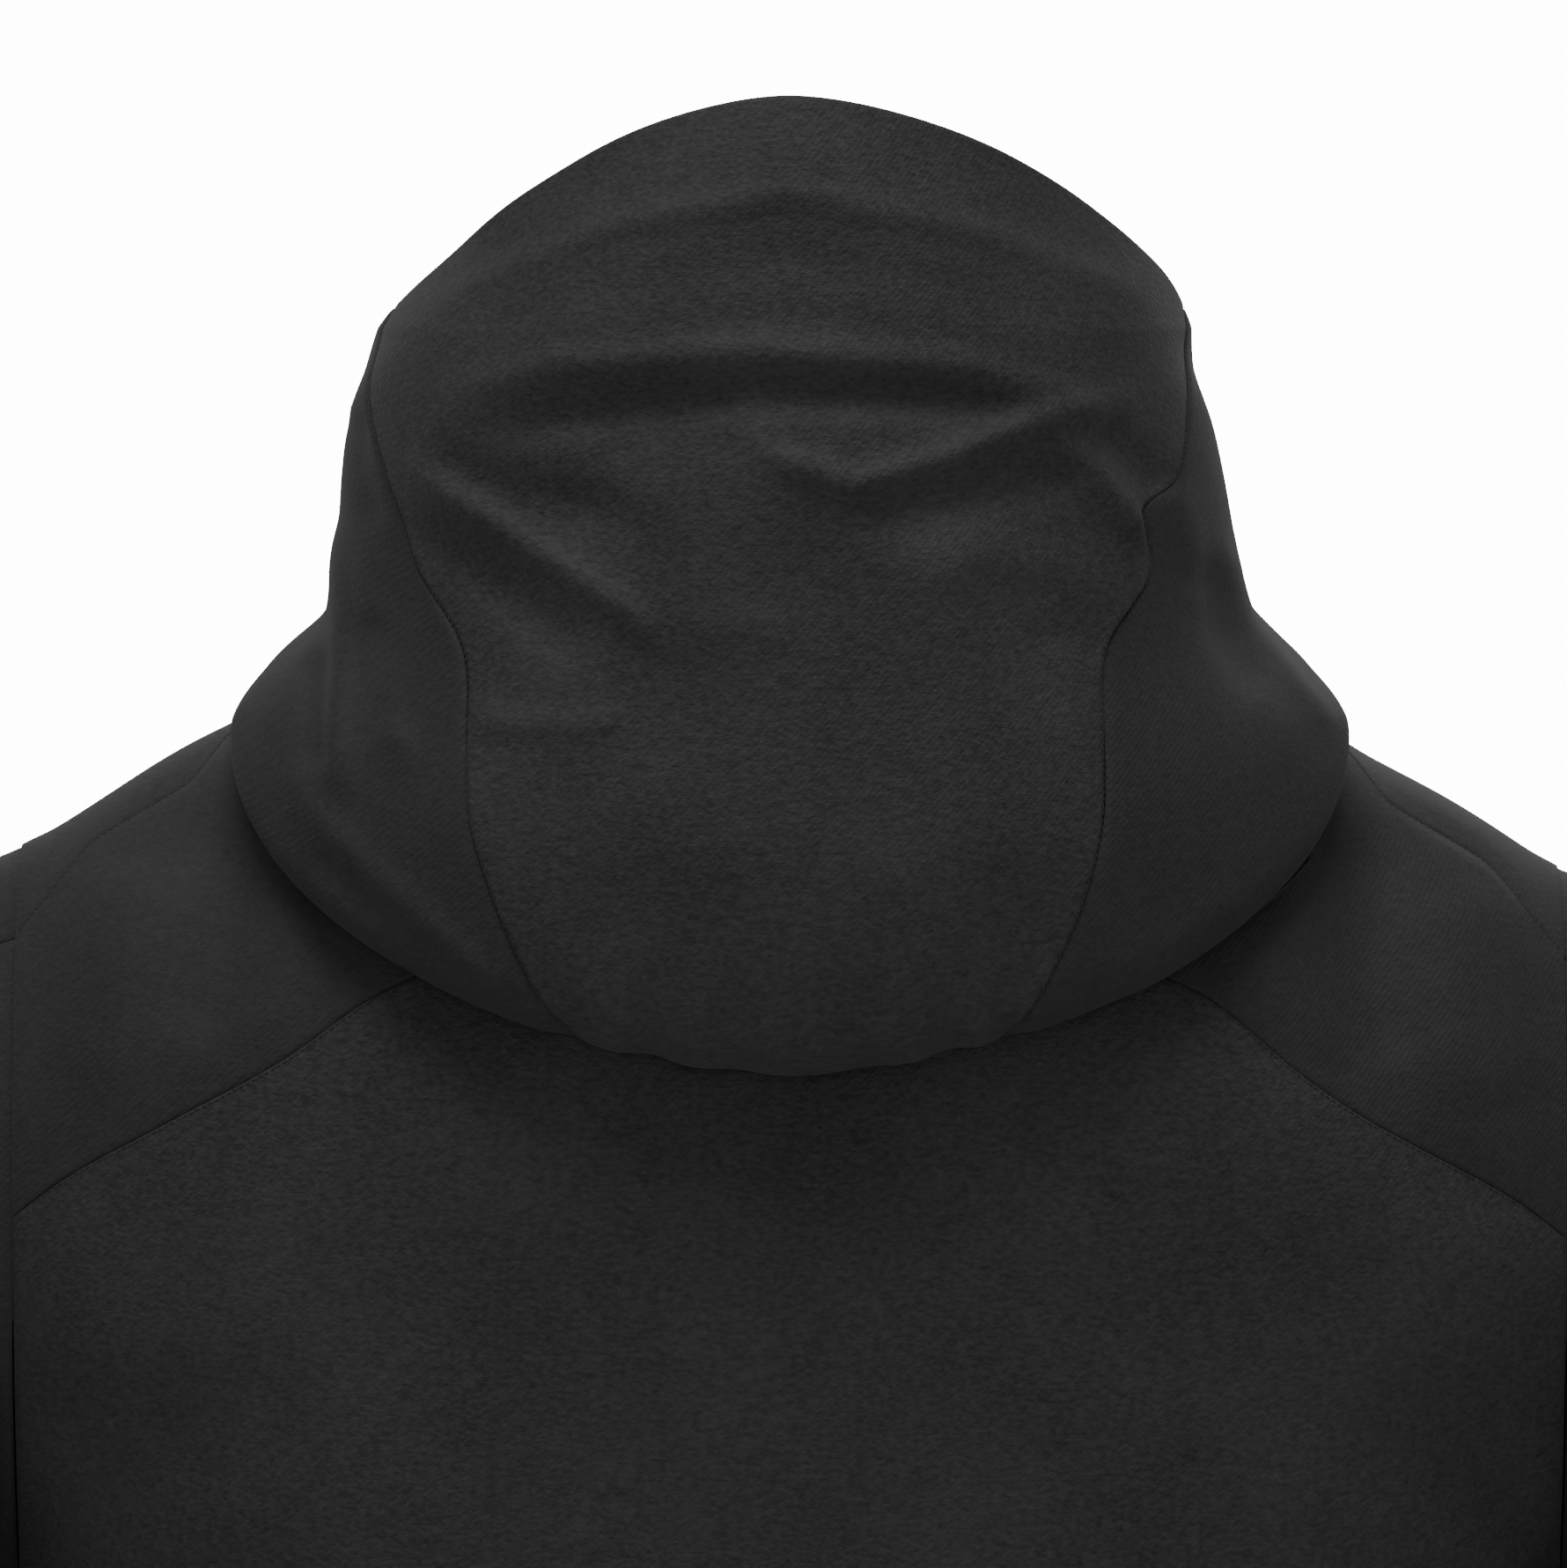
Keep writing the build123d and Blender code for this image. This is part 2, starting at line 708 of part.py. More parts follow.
# ---------------------------------------------------------------- hand pockets
POCKET_LOW, POCKET_TOP = -562.0, -390.0


def pocket_plane():
    """Straight line of the pocket zip, lying on the front seam."""
    a = girth(POCKET_PHI, POCKET_LOW)
    b = girth(POCKET_PHI, POCKET_TOP)
    m = girth(POCKET_PHI, (POCKET_LOW + POCKET_TOP) / 2)
    along = (b - a).normalized()
    across = (girth(POCKET_PHI + 2, -480) - girth(POCKET_PHI - 2, -480)).normalized()
    inward = along.cross(across).normalized()
    if inward.Y < 0:
        inward = inward * -1
    across = inward.cross(along)
    bow = max(0.0, (a - m).dot(inward))
    start = a - inward * (2.2 + bow)
    return Plane(origin=start, x_dir=across, z_dir=along)


ON_POCKET = pocket_plane().location
POCKET_LONG = (girth(POCKET_PHI, POCKET_TOP) - girth(POCKET_PHI, POCKET_LOW)).length


def pocket_zip():
    slot = block(-1.3, 1.3, -2, 4, 8, POCKET_LONG - 6)
    return block(-10, 10, 0, 1, 0, POCKET_LONG).cut(slot).solid()


def pocket_slider():
    body = block(-4.5, 4.5, -1.9, -0.35, 0, 13)
    for x in (-3.3, 1.9):
        body = body.fuse(block(x, x + 1.4, -5.0, -1.7, 6.8, 10.8))
    hole = Cylinder(1.0, 12).rotate(Axis.Y, 90).translate(Vector(0, -3.5, 8.8))
    post = block(-0.9, 0.9, -0.5, 0.9, 2, 11)
    return body.cut(hole).fuse(post).solid()


def pocket_bag(u, v):
    return girth(mix(-58, POCKET_PHI + 2, u), mix(-620, -400, v))


for side in ("left", "right"):
    turn = (lambda s: s) if side == "left" else mirrored
    rise = Vector(0, 0, POCKET_LONG - 20)
    keep("pocket_zip_" + side, turn(pocket_zip().moved(ON_POCKET)))
    keep("pocket_slider_" + side, turn(pocket_slider().translate(rise).moved(ON_POCKET)))
    keep("pocket_pull_" + side, turn(pull(13, 26, 6.0).translate(rise).moved(ON_POCKET)))
    keep("pocket_bag_" + side, turn(panel(pocket_bag, 11, 9, from_axis, lift=-2.2, thick=2.4)))

# ---------------------------------------------------------------- hem cord locks
LOCK_PHI = -3.0


def lock_plane():
    p = girth(LOCK_PHI, -728)
    return Plane(origin=Vector(p.X - 10.2, p.Y, -728), x_dir=(0, 1, 0), z_dir=(0, 0, 1))


def cord_lock():
    body = block(-8, 8, -5, 5, 0, 16)
    well = block(-5, 5, -3.2, 3.2, 5, 17)
    hole = Cylinder(1.8, 24).rotate(Axis.Y, 90).translate(Vector(0, 0, 10.5))
    return body.cut(well).cut(hole).solid()


def plunger():
    body = block(-4.6, 4.6, -2.8, 2.8, 7.5, 20.5)
    hole = Cylinder(1.8, 24).rotate(Axis.Y, 90).translate(Vector(0, 0, 12.5))
    return body.cut(hole).solid()


for side in ("left", "right"):
    turn = (lambda s: s) if side == "left" else mirrored
    keep("hem_lock_" + side, turn(cord_lock().moved(lock_plane().location)))
    keep("hem_plunger_" + side, turn(plunger().moved(lock_plane().location)))

# ---------------------------------------------------------------- hanger loop
end = collar_at(70.5, 0.42)
LOOP_Y, LOOP_Z = end.Y - 4.6, end.Z
loop_bar = block(-31, 31, LOOP_Y - 7.0, LOOP_Y - 5.4, LOOP_Z - 3.5, LOOP_Z + 3.5)
for x in (-31, 25):
    loop_bar = loop_bar.fuse(block(x, x + 6, LOOP_Y - 5.5, LOOP_Y, LOOP_Z - 3.5, LOOP_Z + 3.5))
keep("hanger_loop", loop_bar.solid())

for name, solid in made.items():
    export_step(solid, "parts/" + name + ".step")
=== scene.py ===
"""Hardshell jacket, hood down: the visible fabric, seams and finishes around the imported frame."""
import json
import math

import bmesh
import bpy
import numpy as np
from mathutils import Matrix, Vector


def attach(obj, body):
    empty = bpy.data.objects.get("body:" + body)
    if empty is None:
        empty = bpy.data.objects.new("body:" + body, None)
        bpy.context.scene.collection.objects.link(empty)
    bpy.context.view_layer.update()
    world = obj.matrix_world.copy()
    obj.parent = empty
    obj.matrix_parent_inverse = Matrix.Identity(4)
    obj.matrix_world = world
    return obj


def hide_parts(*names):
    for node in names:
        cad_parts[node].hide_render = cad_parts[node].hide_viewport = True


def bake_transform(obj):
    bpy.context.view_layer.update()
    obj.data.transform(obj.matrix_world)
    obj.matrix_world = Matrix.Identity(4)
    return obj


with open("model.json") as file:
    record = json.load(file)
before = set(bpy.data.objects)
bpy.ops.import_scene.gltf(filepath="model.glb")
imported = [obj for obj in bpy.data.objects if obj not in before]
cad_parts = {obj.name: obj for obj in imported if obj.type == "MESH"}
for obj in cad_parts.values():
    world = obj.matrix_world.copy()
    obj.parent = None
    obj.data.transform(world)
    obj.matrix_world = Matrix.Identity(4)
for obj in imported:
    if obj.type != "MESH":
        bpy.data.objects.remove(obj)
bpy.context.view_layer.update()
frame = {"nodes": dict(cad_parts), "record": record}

# Lengths in the shape functions are millimetres and turn into metres when a mesh is made.
MM = 0.001
DEG = math.pi / 180
SIDES = (("left", 1), ("right", -1))

# ---------------------------------------------------------------- sizes shared with the frame
HEM_Z, ARM_X, ARM_LOW_Z, CAP_Z = -745.0, 205.0, -262.0, -155.0
RIDGE_Z, RIDGE_SLOPE, BOX_N, ARM_Y = 57.0, 0.58, 2.4, 76.0
ZIP_HEM_Y, ZIP_LEAN, ZIP_HALF = 138.0, 0.0478, 13.0
NECK_X, NECK_BACK, NECK_FRONT, CHEST_F = 86.0, 72.0, 104.0, 113.0
RAGLAN_X, REAR_TH, FRONT_TH = 95.0, 17.0, -80.0
SIDE_PHI, POCKET_PHI = 9.5, -28.0
SLEEVE_SEAM = 51.0
FABRIC_THICK = 1.1
MID_DEPTH = 118.0           # depth of the back at the shoulders
POCKET_TOP_Z = -227.4


# ---------------------------------------------------------------- small maths
def ease(t):
    t = np.clip(t, 0.0, 1.0)
    return t * t * (3 - 2 * t)


def mix(a, b, t):
    return a + (b - a) * t


def curve(xs, ys, x):
    """Smooth curve through named stations (monotone cubic), for arrays of x."""
    xs, ys = np.array(xs, float), np.array(ys, float)
    x = np.clip(x, xs[0], xs[-1])
    h = np.diff(xs)
    d = np.diff(ys) / h
    m = np.zeros(len(xs))
    m[0], m[-1] = d[0], d[-1]
    for k in range(1, len(xs) - 1):
        a, b = d[k - 1], d[k]
        m[k] = 0.0 if a * b <= 0 else 2 * a * b / (a + b)
    i = np.clip(np.searchsorted(xs, x, side="right") - 1, 0, len(xs) - 2)
    t = (x - xs[i]) / h[i]
    return ((2 * t**3 - 3 * t**2 + 1) * ys[i] + (t**3 - 2 * t**2 + t) * h[i] * m[i]
            + (-2 * t**3 + 3 * t**2) * ys[i + 1] + (t**3 - t**2) * h[i] * m[i + 1])


def soft_max(a, b, k):
    d = a - b
    return (a + b + np.sqrt(d * d + k * k)) / 2


def ripples(a, b, seed, long_a, long_b, waves=7):
    """Smooth irregular undulation between about -1 and 1."""
    rng = np.random.default_rng(seed)
    total = 0.0
    for _ in range(waves):
        fa, fb = rng.uniform(0.5, 1.6, 2) * (1, rng.choice((-1, 1)))
        total = total + np.sin(2 * math.pi * (fa * a / long_a + fb * b / long_b) + rng.uniform(0, 6.28))
    return total / math.sqrt(waves)


def stroke(x, z, points, width, height):
    """Ridge (+) or valley (-) along a line drawn on the surface; fades at its ends."""
    pts = np.array(points, float)
    seg = np.hypot(*(pts[1:] - pts[:-1]).T)
    run = np.concatenate([[0], np.cumsum(seg)])
    best = np.full(x.shape, 1e9)
    along = np.zeros(x.shape)
    for k in range(len(pts) - 1):
        dx, dz = pts[k + 1] - pts[k]
        t = np.clip(((x - pts[k][0]) * dx + (z - pts[k][1]) * dz) / seg[k] ** 2, 0, 1)
        d = np.hypot(x - pts[k][0] - t * dx, z - pts[k][1] - t * dz)
        near = d < best
        best = np.where(near, d, best)
        along = np.where(near, run[k] + t * seg[k], along)
    u = along / run[-1]
    fade = ease(u / 0.25 + 0.15) * ease((1 - u) / 0.25 + 0.15)
    return height * np.exp(-(best / width) ** 2) * fade


def grid(a, b):
    return np.broadcast_arrays(np.asarray(a, float), np.asarray(b, float))


def xyz(x, y, z):
    x, y, z = np.broadcast_arrays(np.asarray(x, float), y, z)
    return np.stack([x, y, z], axis=-1)


# ---------------------------------------------------------------- torso surface
def back_depth(z):
    return curve([-745, -600, -450, -330, -262, -155, 60], [119, 113, 113, 117, 120, 118, 118], z)


def zip_depth(z):
    return ZIP_HEM_Y - ZIP_LEAN * (z - HEM_Z)


def ridge(x):
    return RIDGE_Z - RIDGE_SLOPE * (np.hypot(x, 12) - 12)


def cap(x, z):
    t = np.clip((z - CAP_Z) / (ridge(x) - CAP_Z), 0.0, 1.0)
    return np.sqrt(np.maximum(0.0, 1 - t**2))


def front_depth(x, z):
    at_zip = zip_depth(z) / np.maximum(0.3, cap(0.0, z))
    high = CHEST_F + (at_zip - CHEST_F) * np.exp(-(x / 55.0) ** 2)
    return np.where(z <= CAP_Z, zip_depth(z), high)


def arm_half(z):
    t = np.clip((z - ARM_LOW_Z) / (CAP_Z - ARM_LOW_Z), 0.0, 1.0)
    return ARM_Y * (1 - (1 - t) ** 1.8) ** (1 / 1.8)


def arm_low(y):
    s = np.minimum(1.0, np.abs(y) / ARM_Y)
    return ARM_LOW_Z + (CAP_Z - ARM_LOW_Z) * (1 - (1 - s**1.8) ** (1 / 1.8))


def half_width(z):
    hem = curve([-745, -600, -450, -330, -262], [205, 201, 200, 203, 205], z)
    return hem * (1 - (arm_half(z) / MID_DEPTH) ** BOX_N) ** (-1 / BOX_N)


def side_share(x, z):
    return np.maximum(0.0, 1 - np.abs(x / half_width(z)) ** BOX_N) ** (1 / BOX_N)


def back_y(x, z):
    return back_depth(z) * side_share(x, z) * cap(x, z)


def girth(phi, z):
    phi, z = grid(phi, z)
    c, s = np.cos(phi * DEG), np.sin(phi * DEG)
    w = half_width(z)
    x = np.zeros_like(phi)
    for _ in range(3):
        d = np.where(s >= 0, back_depth(z), front_depth(x, z))
        r = (np.abs(c / w) ** BOX_N + np.abs(s / d) ** BOX_N) ** (-1 / BOX_N)
        x = r * c
    return xyz(x, r * s * cap(x, z), z)


def arch(x, a):
    x, a = grid(x, a)
    z = CAP_Z + (ridge(x) - CAP_Z) * np.sin(a * DEG)
    d = np.where(a < 90, back_depth(z), front_depth(x, z))
    return xyz(x, d * side_share(x, z) * np.cos(a * DEG), z)


def arch_angle(x, z, front=False):
    a = np.arcsin(np.clip((z - CAP_Z) / (ridge(x) - CAP_Z), 0, 1)) / DEG
    return 180 - a if front else a


def neck_xa(th):
    th = np.asarray(th, float)
    x = NECK_X * np.cos(th * DEG)
    s = np.sin(th * DEG)
    y = s * np.where(s > 0, NECK_BACK, NECK_FRONT)
    lo, hi = np.full(x.shape, CAP_Z), ridge(x)
    for _ in range(30):
        z = (lo + hi) / 2
        depth = np.where(y >= 0, back_depth(z), front_depth(x, z))
        inside = depth * side_share(x, z) * cap(x, z) > np.abs(y)
        lo, hi = np.where(inside, z, lo), np.where(inside, hi, z)
    a = arch_angle(x, (lo + hi) / 2)
    return x, np.where(y < 0, 180 - a, a)


def coons(c0, c1, d0, d1, u, v):
    out = []
    zero, one = np.zeros(1), np.ones(1)
    for k in (0, 1):
        along = mix(c0(u)[k], c1(u)[k], v) + mix(d0(v)[k], d1(v)[k], u)
        corner = mix(mix(c0(zero)[k][0], c0(one)[k][0], u), mix(c1(zero)[k][0], c1(one)[k][0], u), v)
        out.append(along - corner)
    return out


# Seam lines of the upper body
def yoke_seam_z(x):
    return curve([0, 40, 80, 107, 133, 164, 191, 206],
                 [-64, -68, -79, -90, -108, -125, -140, -151.5], np.abs(x))


RING_X, RING_A = neck_xa(REAR_TH)
RING_FX, RING_FA = neck_xa(FRONT_TH)


def ridge_seam_a(x):
    return curve([float(RING_X), 120, 146, 160, 183, 200, 206],
                 [float(RING_A), 86, 82, 69, 67, 55, 51], x)


def front_seam_z(x):
    z0 = arch(RING_FX, RING_FA)[..., 2]
    return curve([float(RING_FX), 60, 120, 170, 206], [float(z0), -78, -112, -134, -150], x)


def pocket_phi(z):
    top = math.atan2(-50.0, ARM_X) / DEG
    return POCKET_PHI + (top - POCKET_PHI) * ease((z + 385) / (-227 + 385))


def edge_phi(z):
    return np.arctan2(arm_half(z) * back_depth(z) / MID_DEPTH, ARM_X) / DEG


def edge_phi_front(z):
    return -np.arctan2(arm_half(z) * front_depth(150.0, z) / MID_DEPTH, ARM_X) / DEG


def raglan(v):
    a0 = arch_angle(RAGLAN_X, yoke_seam_z(RAGLAN_X))
    return mix(RAGLAN_X, RING_X, v), mix(a0, RING_A, v)


# ---------------------------------------------------------------- hood surface, folded down
HOOD_T = [0.0, 0.08, 0.2, 0.35, 0.5, 0.7, 0.88, 1.0]
HOOD_W = [146, 148, 142, 126, 123, 117, 110, 108]
HOOD_YB = [128, 139, 142, 134, 128, 121, 113, 102]
HOOD_ZB = [-114, -98, -60, -5, 40, 85, 119, 145]
HOOD_ZS = [-32, -24, -12, 8, 28, 52, 68, 80]
HOOD_Y0 = [55, 50, 42, 30, 22, 15, 11, 10]
HOOD_END_X = [106, 107, 107, 106, 105, 104, 103, 102]
HOOD_END_Z = [2, 6, 12, 20, 28, 38, 46, 52]
HOOD_END = -58.0
FOLD_SHARE, SIDE_FOLD_SHARE = 0.62, 0.7
# share of the width left at height z, and the small difference between the two sides
NARROW_Z = [83, 95, 106, 117, 129, 146]
NARROW_X = [1.0, 0.965, 0.925, 0.9, 0.885, 0.885]
TRIM_Z = [-20, 20, 70, 110, 146]
TRIM_LEFT = [1.0, 0.97, 1.03, 0.97, 0.97]
TRIM_RIGHT = [1.0, 0.96, 0.98, 1.02, 1.03]
RIGHT_DROP = 5.6


def neck_roof(x, y):
    d = np.where(y > 0, MID_DEPTH, CHEST_F) * side_share(x, -150.0)
    t = np.clip(np.abs(y) / np.maximum(d, 1), 0, 1)
    return CAP_Z + (ridge(x) - CAP_Z) * np.sqrt(1 - t**2)


def hood(phi, t):
    phi, t = grid(phi, t)

    def st(ys):
        return curve(HOOD_T, ys, t)

    w, yb, zb, zs, y0 = st(HOOD_W), st(HOOD_YB), st(HOOD_ZB), st(HOOD_ZS), st(HOOD_Y0)
    s, c = np.sin(phi * DEG), np.cos(phi * DEG)
    up = np.clip(s, 0, 1)
    f = np.clip(-s, 0, 1) / math.sin(60 * DEG)
    x = np.where(s >= 0, w * c, np.sign(c) * mix(w, st(HOOD_END_X), f * f))
    y = np.where(s >= 0, y0 + (yb - y0) * up**0.93, y0 - (y0 + mix(32, 54, t)) * f)
    z = np.where(s >= 0, zb + (zs - zb) * (1 - up) ** 0.87, mix(zs, st(HOOD_END_Z), f))
    x = x * curve(NARROW_Z, NARROW_X, z)
    z = soft_max(z, neck_roof(x, y) + 6, 3)
    pushed = soft_max(y, back_y(x, z) + 5, 3)
    y = np.where((y > 40) & (z < ridge(x)), pushed, y)
    return xyz(x, y, z)


def hood_trim(p):
    """The lying hood is not quite the same on both sides."""
    x, z = p[..., 0], p[..., 2]
    share = np.where(x > 0, curve(TRIM_Z, TRIM_LEFT, z), curve(TRIM_Z, TRIM_RIGHT, z))
    return p * np.stack([share, np.ones_like(share), np.ones_like(share)], axis=-1)


def shoulder_drop(p):
    """The right shoulder hangs a little lower than the left one."""
    low = RIGHT_DROP * ease((-p[..., 0] - 108) / 50) * ease((p[..., 2] + 330) / 180)
    return p - np.stack([np.zeros_like(low), np.zeros_like(low), low], axis=-1)


# ---------------------------------------------------------------- sleeve surface
SLEEVE = np.array([
    # outer x, z, inner x, z, half depth, shift in y, share of the outer half
    (205.0, -55.0, 205.0, -262.0, 76, 0.5, 0.49),
    (238, -84, 210.5, -266, 77, 1, 0.475),
    (266, -118, 212.5, -272, 79, 2, 0.485),
    (289, -162, 214.5, -281, 80, 3, 0.495),
    (305, -214, 217, -294, 80, 4, 0.5),
    (316, -270, 222, -316, 78, 5, 0.5),
    (326, -333, 231, -356, 75, 6, 0.5),
    (341, -418, 245, -441, 69, 6, 0.5),
    (350, -480, 257, -498, 65, 0, 0.5),
    (358, -550, 268, -563, 60, -10, 0.5),
    (366, -625, 281, -634, 55, -22, 0.5),
    (371, -700, 291, -708, 50, -34, 0.5),
])
ELBOW, CUFF = 7.0, 11.0     # rows of the list where the elbow and the end of the cuff are
ROW = 62.0                  # mm along the arm from one row to the next
ELBOW_SPLIT = 6.1           # the seam above the elbow


def sleeve(psi, s):
    psi, s = grid(psi, s)
    keys = np.arange(len(SLEEVE))

    def at(k):
        return curve(keys, SLEEVE[:, k], s)

    ox, oz, ix, iz, b, y0, share = (at(k) for k in range(7))
    cx, cz = mix(ox, ix, share), mix(oz, iz, share)
    n = np.sin(psi * DEG)
    top = n >= 0
    hx, hz = np.where(top, ox - cx, cx - ix), np.where(top, oz - cz, cz - iz)
    round_part = xyz(cx + hx * n, y0 + b * np.cos(psi * DEG), cz + hz * n)
    # the first part runs on from the shoulder: its arch above, the scooped armhole below
    start = ease(s / 1.7)
    x = np.minimum(round_part[..., 0], 226.0)
    slide = (cz - mix(SLEEVE[0, 1], SLEEVE[0, 3], 1 - SLEEVE[0, 6])) * (1 - start)
    above = arch(x, np.clip(psi, 0, 180))
    dip = arch(x, 0 * psi)[..., 1] / arch(ARM_X, 0.0)[..., 1]
    y = ARM_Y * np.cos(psi * DEG) * mix(dip, 1.0, ease(-n / 0.6))
    below = xyz(x, y * np.where(y > 0, 1.0, 0.958), arm_low(np.cos(psi * DEG) * ARM_Y))
    hole = np.where(top[..., None], above, below)
    hole[..., 0] = mix(ARM_X, round_part[..., 0], ease(s / 0.15))
    hole[..., 2] += np.where(top, 0.0, slide)
    return mix(hole, round_part, start[..., None])


# ---------------------------------------------------------------- meshes
def unit(v):
    return v / np.maximum(np.linalg.norm(v, axis=-1, keepdims=True), 1e-9)


def steps(n, length, fine):
    """n even steps from 0 to 1 with extra lines next to both ends for a rolled edge."""
    inner = np.linspace(0, 1, n)[1:-1]
    ends = np.array(fine) / length
    return np.concatenate([[0], ends, inner[(inner > ends[-1] * 1.5) & (inner < 1 - ends[-1] * 1.5)],
                           1 - ends[::-1], [1]])


ROLL_AT = (0.5, 1.1, 2.0)
ROLL_DROP = (1.0, 0.45, 0.14, 0.0)
SURFACES = {}               # finished pieces by name, for the rows of stitches on them


def slab(name, fn, nu, nv, out, thick=FABRIC_THICK, lift=0.0, roll=(1, 1, 1, 1),
         shape=None, gap=(0.12, 0.12, 0.12, 0.12), settle=shoulder_drop):
    """A closed piece of cloth over fn(u, v): outer skin, inner skin and rolled edges.

    roll: how far each edge (u0, u1, v0, v1) turns down, in mm; shape(points, u, v) gives the
    height of folds along the normal; settle moves the finished points.
    """
    mid = np.linspace(0, 1, 24)
    half = np.full(24, 0.5)
    lu = np.linalg.norm(np.diff(fn(mid, half), axis=0), axis=-1).sum()
    lv = np.linalg.norm(np.diff(fn(half, mid), axis=0), axis=-1).sum()
    us = steps(nu, lu, ROLL_AT)
    vs = steps(nv, lv, ROLL_AT)
    u, v = np.meshgrid(mix(gap[0] / lu, 1 - gap[1] / lu, us),
                       mix(gap[2] / lv, 1 - gap[3] / lv, vs), indexing="ij")
    e = 2e-4

    def folded(a, b):
        q = fn(a, b)
        m = unit(np.cross(fn(a + e, b) - fn(a - e, b), fn(a, b + e) - fn(a, b - e)))
        side = np.sign((m * (q - out)).sum(axis=-1).mean())
        if shape is not None:
            q = q + m * side * shape(q, a, b)[..., None]
        return settle(q) if settle else q

    p = folded(u, v)
    n = unit(np.cross(np.gradient(p, axis=0), np.gradient(p, axis=1)))
    flip = np.sign((n * (p - out)).sum(axis=-1).mean())
    n = n * flip
    SURFACES[name] = (folded, flip, lift)
    drop = np.zeros(u.shape)
    k = len(ROLL_AT)
    for i in range(k + 1):
        drop[i, :] = np.maximum(drop[i, :], ROLL_DROP[i] * roll[0])
        drop[-1 - i, :] = np.maximum(drop[-1 - i, :], ROLL_DROP[i] * roll[1])
        drop[:, i] = np.maximum(drop[:, i], ROLL_DROP[i] * roll[2])
        drop[:, -1 - i] = np.maximum(drop[:, -1 - i], ROLL_DROP[i] * roll[3])
    outer = p + n * (lift - drop)[..., None]
    inner = p + n * (lift - thick - drop * 0.3)[..., None]
    return cloth_mesh(name, outer, inner, flip)


def add_object(name, data):
    obj = bpy.data.objects.new(name, data)
    bpy.context.scene.collection.objects.link(obj)
    return obj


def cloth_mesh(name, outer, inner, flip):
    """Two skins joined by a rim, with normals outwards and creases kept sharp above 50 degrees."""
    a, b = outer.shape[:2]
    count = a * b
    verts = np.concatenate([outer.reshape(-1, 3), inner.reshape(-1, 3)]) * MM
    i, j = np.meshgrid(np.arange(a - 1), np.arange(b - 1), indexing="ij")
    i, j = i.ravel(), j.ravel()
    k = i * b + j
    quad = np.stack([k, k + b, k + b + 1, k + 1], axis=1)
    faces = [quad if flip > 0 else quad[:, ::-1], (quad[:, ::-1] if flip > 0 else quad) + count]

    def rim(ring):
        q = np.stack([ring[:-1], ring[1:], ring[1:] + count, ring[:-1] + count], axis=1)
        return q if flip < 0 else q[:, ::-1]

    first = np.arange(a) * b
    faces.append(rim(first)[:, ::-1])
    faces.append(rim(first + b - 1))
    faces.append(rim(np.arange(b)))
    faces.append(rim((a - 1) * b + np.arange(b))[:, ::-1])
    mesh = bpy.data.meshes.new(name)
    mesh.from_pydata(verts.tolist(), [], np.concatenate(faces).tolist())
    mesh.validate()
    solid = bmesh.new()
    solid.from_mesh(mesh)
    bmesh.ops.recalc_face_normals(solid, faces=solid.faces)
    solid.to_mesh(mesh)
    solid.free()
    mesh.shade_smooth()
    mesh.set_sharp_from_angle(angle=50 * DEG)
    return add_object(name, mesh)


def mirror_of(fn, k):
    """The same shape on the other side of the body."""
    if k > 0:
        return fn
    return lambda u, v: fn(u, v) * np.array([-1.0, 1.0, 1.0])


def stitches(name, line, pitch=2.6, long=1.75, wide=0.42, high=0.3, lift=0.12):
    """A row of thread stitches along a line; line(t) gives points and outward normals."""
    t = np.linspace(0, 1, 600)
    pts, nor = line(t)
    run = np.concatenate([[0], np.cumsum(np.linalg.norm(np.diff(pts, axis=0), axis=1))])
    n = int(run[-1] / pitch)
    at = (np.arange(n) + 0.5) * pitch
    c = np.stack([np.interp(at, run, pts[:, k]) for k in range(3)], axis=1)
    up = unit(np.stack([np.interp(at, run, nor[:, k]) for k in range(3)], axis=1))
    ahead = np.stack([np.interp(at + 0.5, run, pts[:, k]) for k in range(3)], axis=1) - c
    d = unit(ahead - up * (ahead * up).sum(axis=1, keepdims=True))
    s = np.cross(d, up)
    rings = ((-0.5, 0.0), (-0.42, 0.75), (-0.2, 1.0), (0.2, 1.0), (0.42, 0.75), (0.5, 0.0))
    sides = 6
    verts, faces = [], []
    for k in range(n):
        base = len(verts)
        for where, fat in rings:
            for q in range(sides):
                ang = 2 * math.pi * q / sides
                off = (d[k] * where * long + s[k] * math.cos(ang) * wide * fat / 2
                       + up[k] * (lift + math.sin(ang) * high * fat / 2 - high * (1 - fat) * 0.6))
                verts.append((c[k] + off) * MM)
        for r in range(len(rings) - 1):
            for q in range(sides):
                q2 = (q + 1) % sides
                faces.append((base + r * sides + q, base + r * sides + q2,
                              base + (r + 1) * sides + q2, base + (r + 1) * sides + q))
    mesh = bpy.data.meshes.new(name)
    mesh.from_pydata([tuple(v) for v in verts], [], faces)
    mesh.shade_smooth()
    return add_object(name, mesh)


def seam_row(name, cloth, u_of, v_of, pitch=1.9, long=1.25, wide=0.3, high=0.22):
    """Stitches that lie on a piece of cloth along (u_of(t), v_of(t))."""
    folded, flip, lift = SURFACES[cloth]
    e = 1.5e-3

    def line(t):
        u, v = u_of(t) + 0 * t, v_of(t) + 0 * t
        p = folded(u, v)
        across = folded(np.minimum(u + e, 1), v) - folded(np.maximum(u - e, 0), v)
        up = folded(u, np.minimum(v + e, 1)) - folded(u, np.maximum(v - e, 0))
        n = unit(np.cross(across, up)) * flip
        return p + n * lift, n

    obj = stitches(name, line, pitch, long, wide, high)
    obj.data.materials.append(THREAD)
    return obj


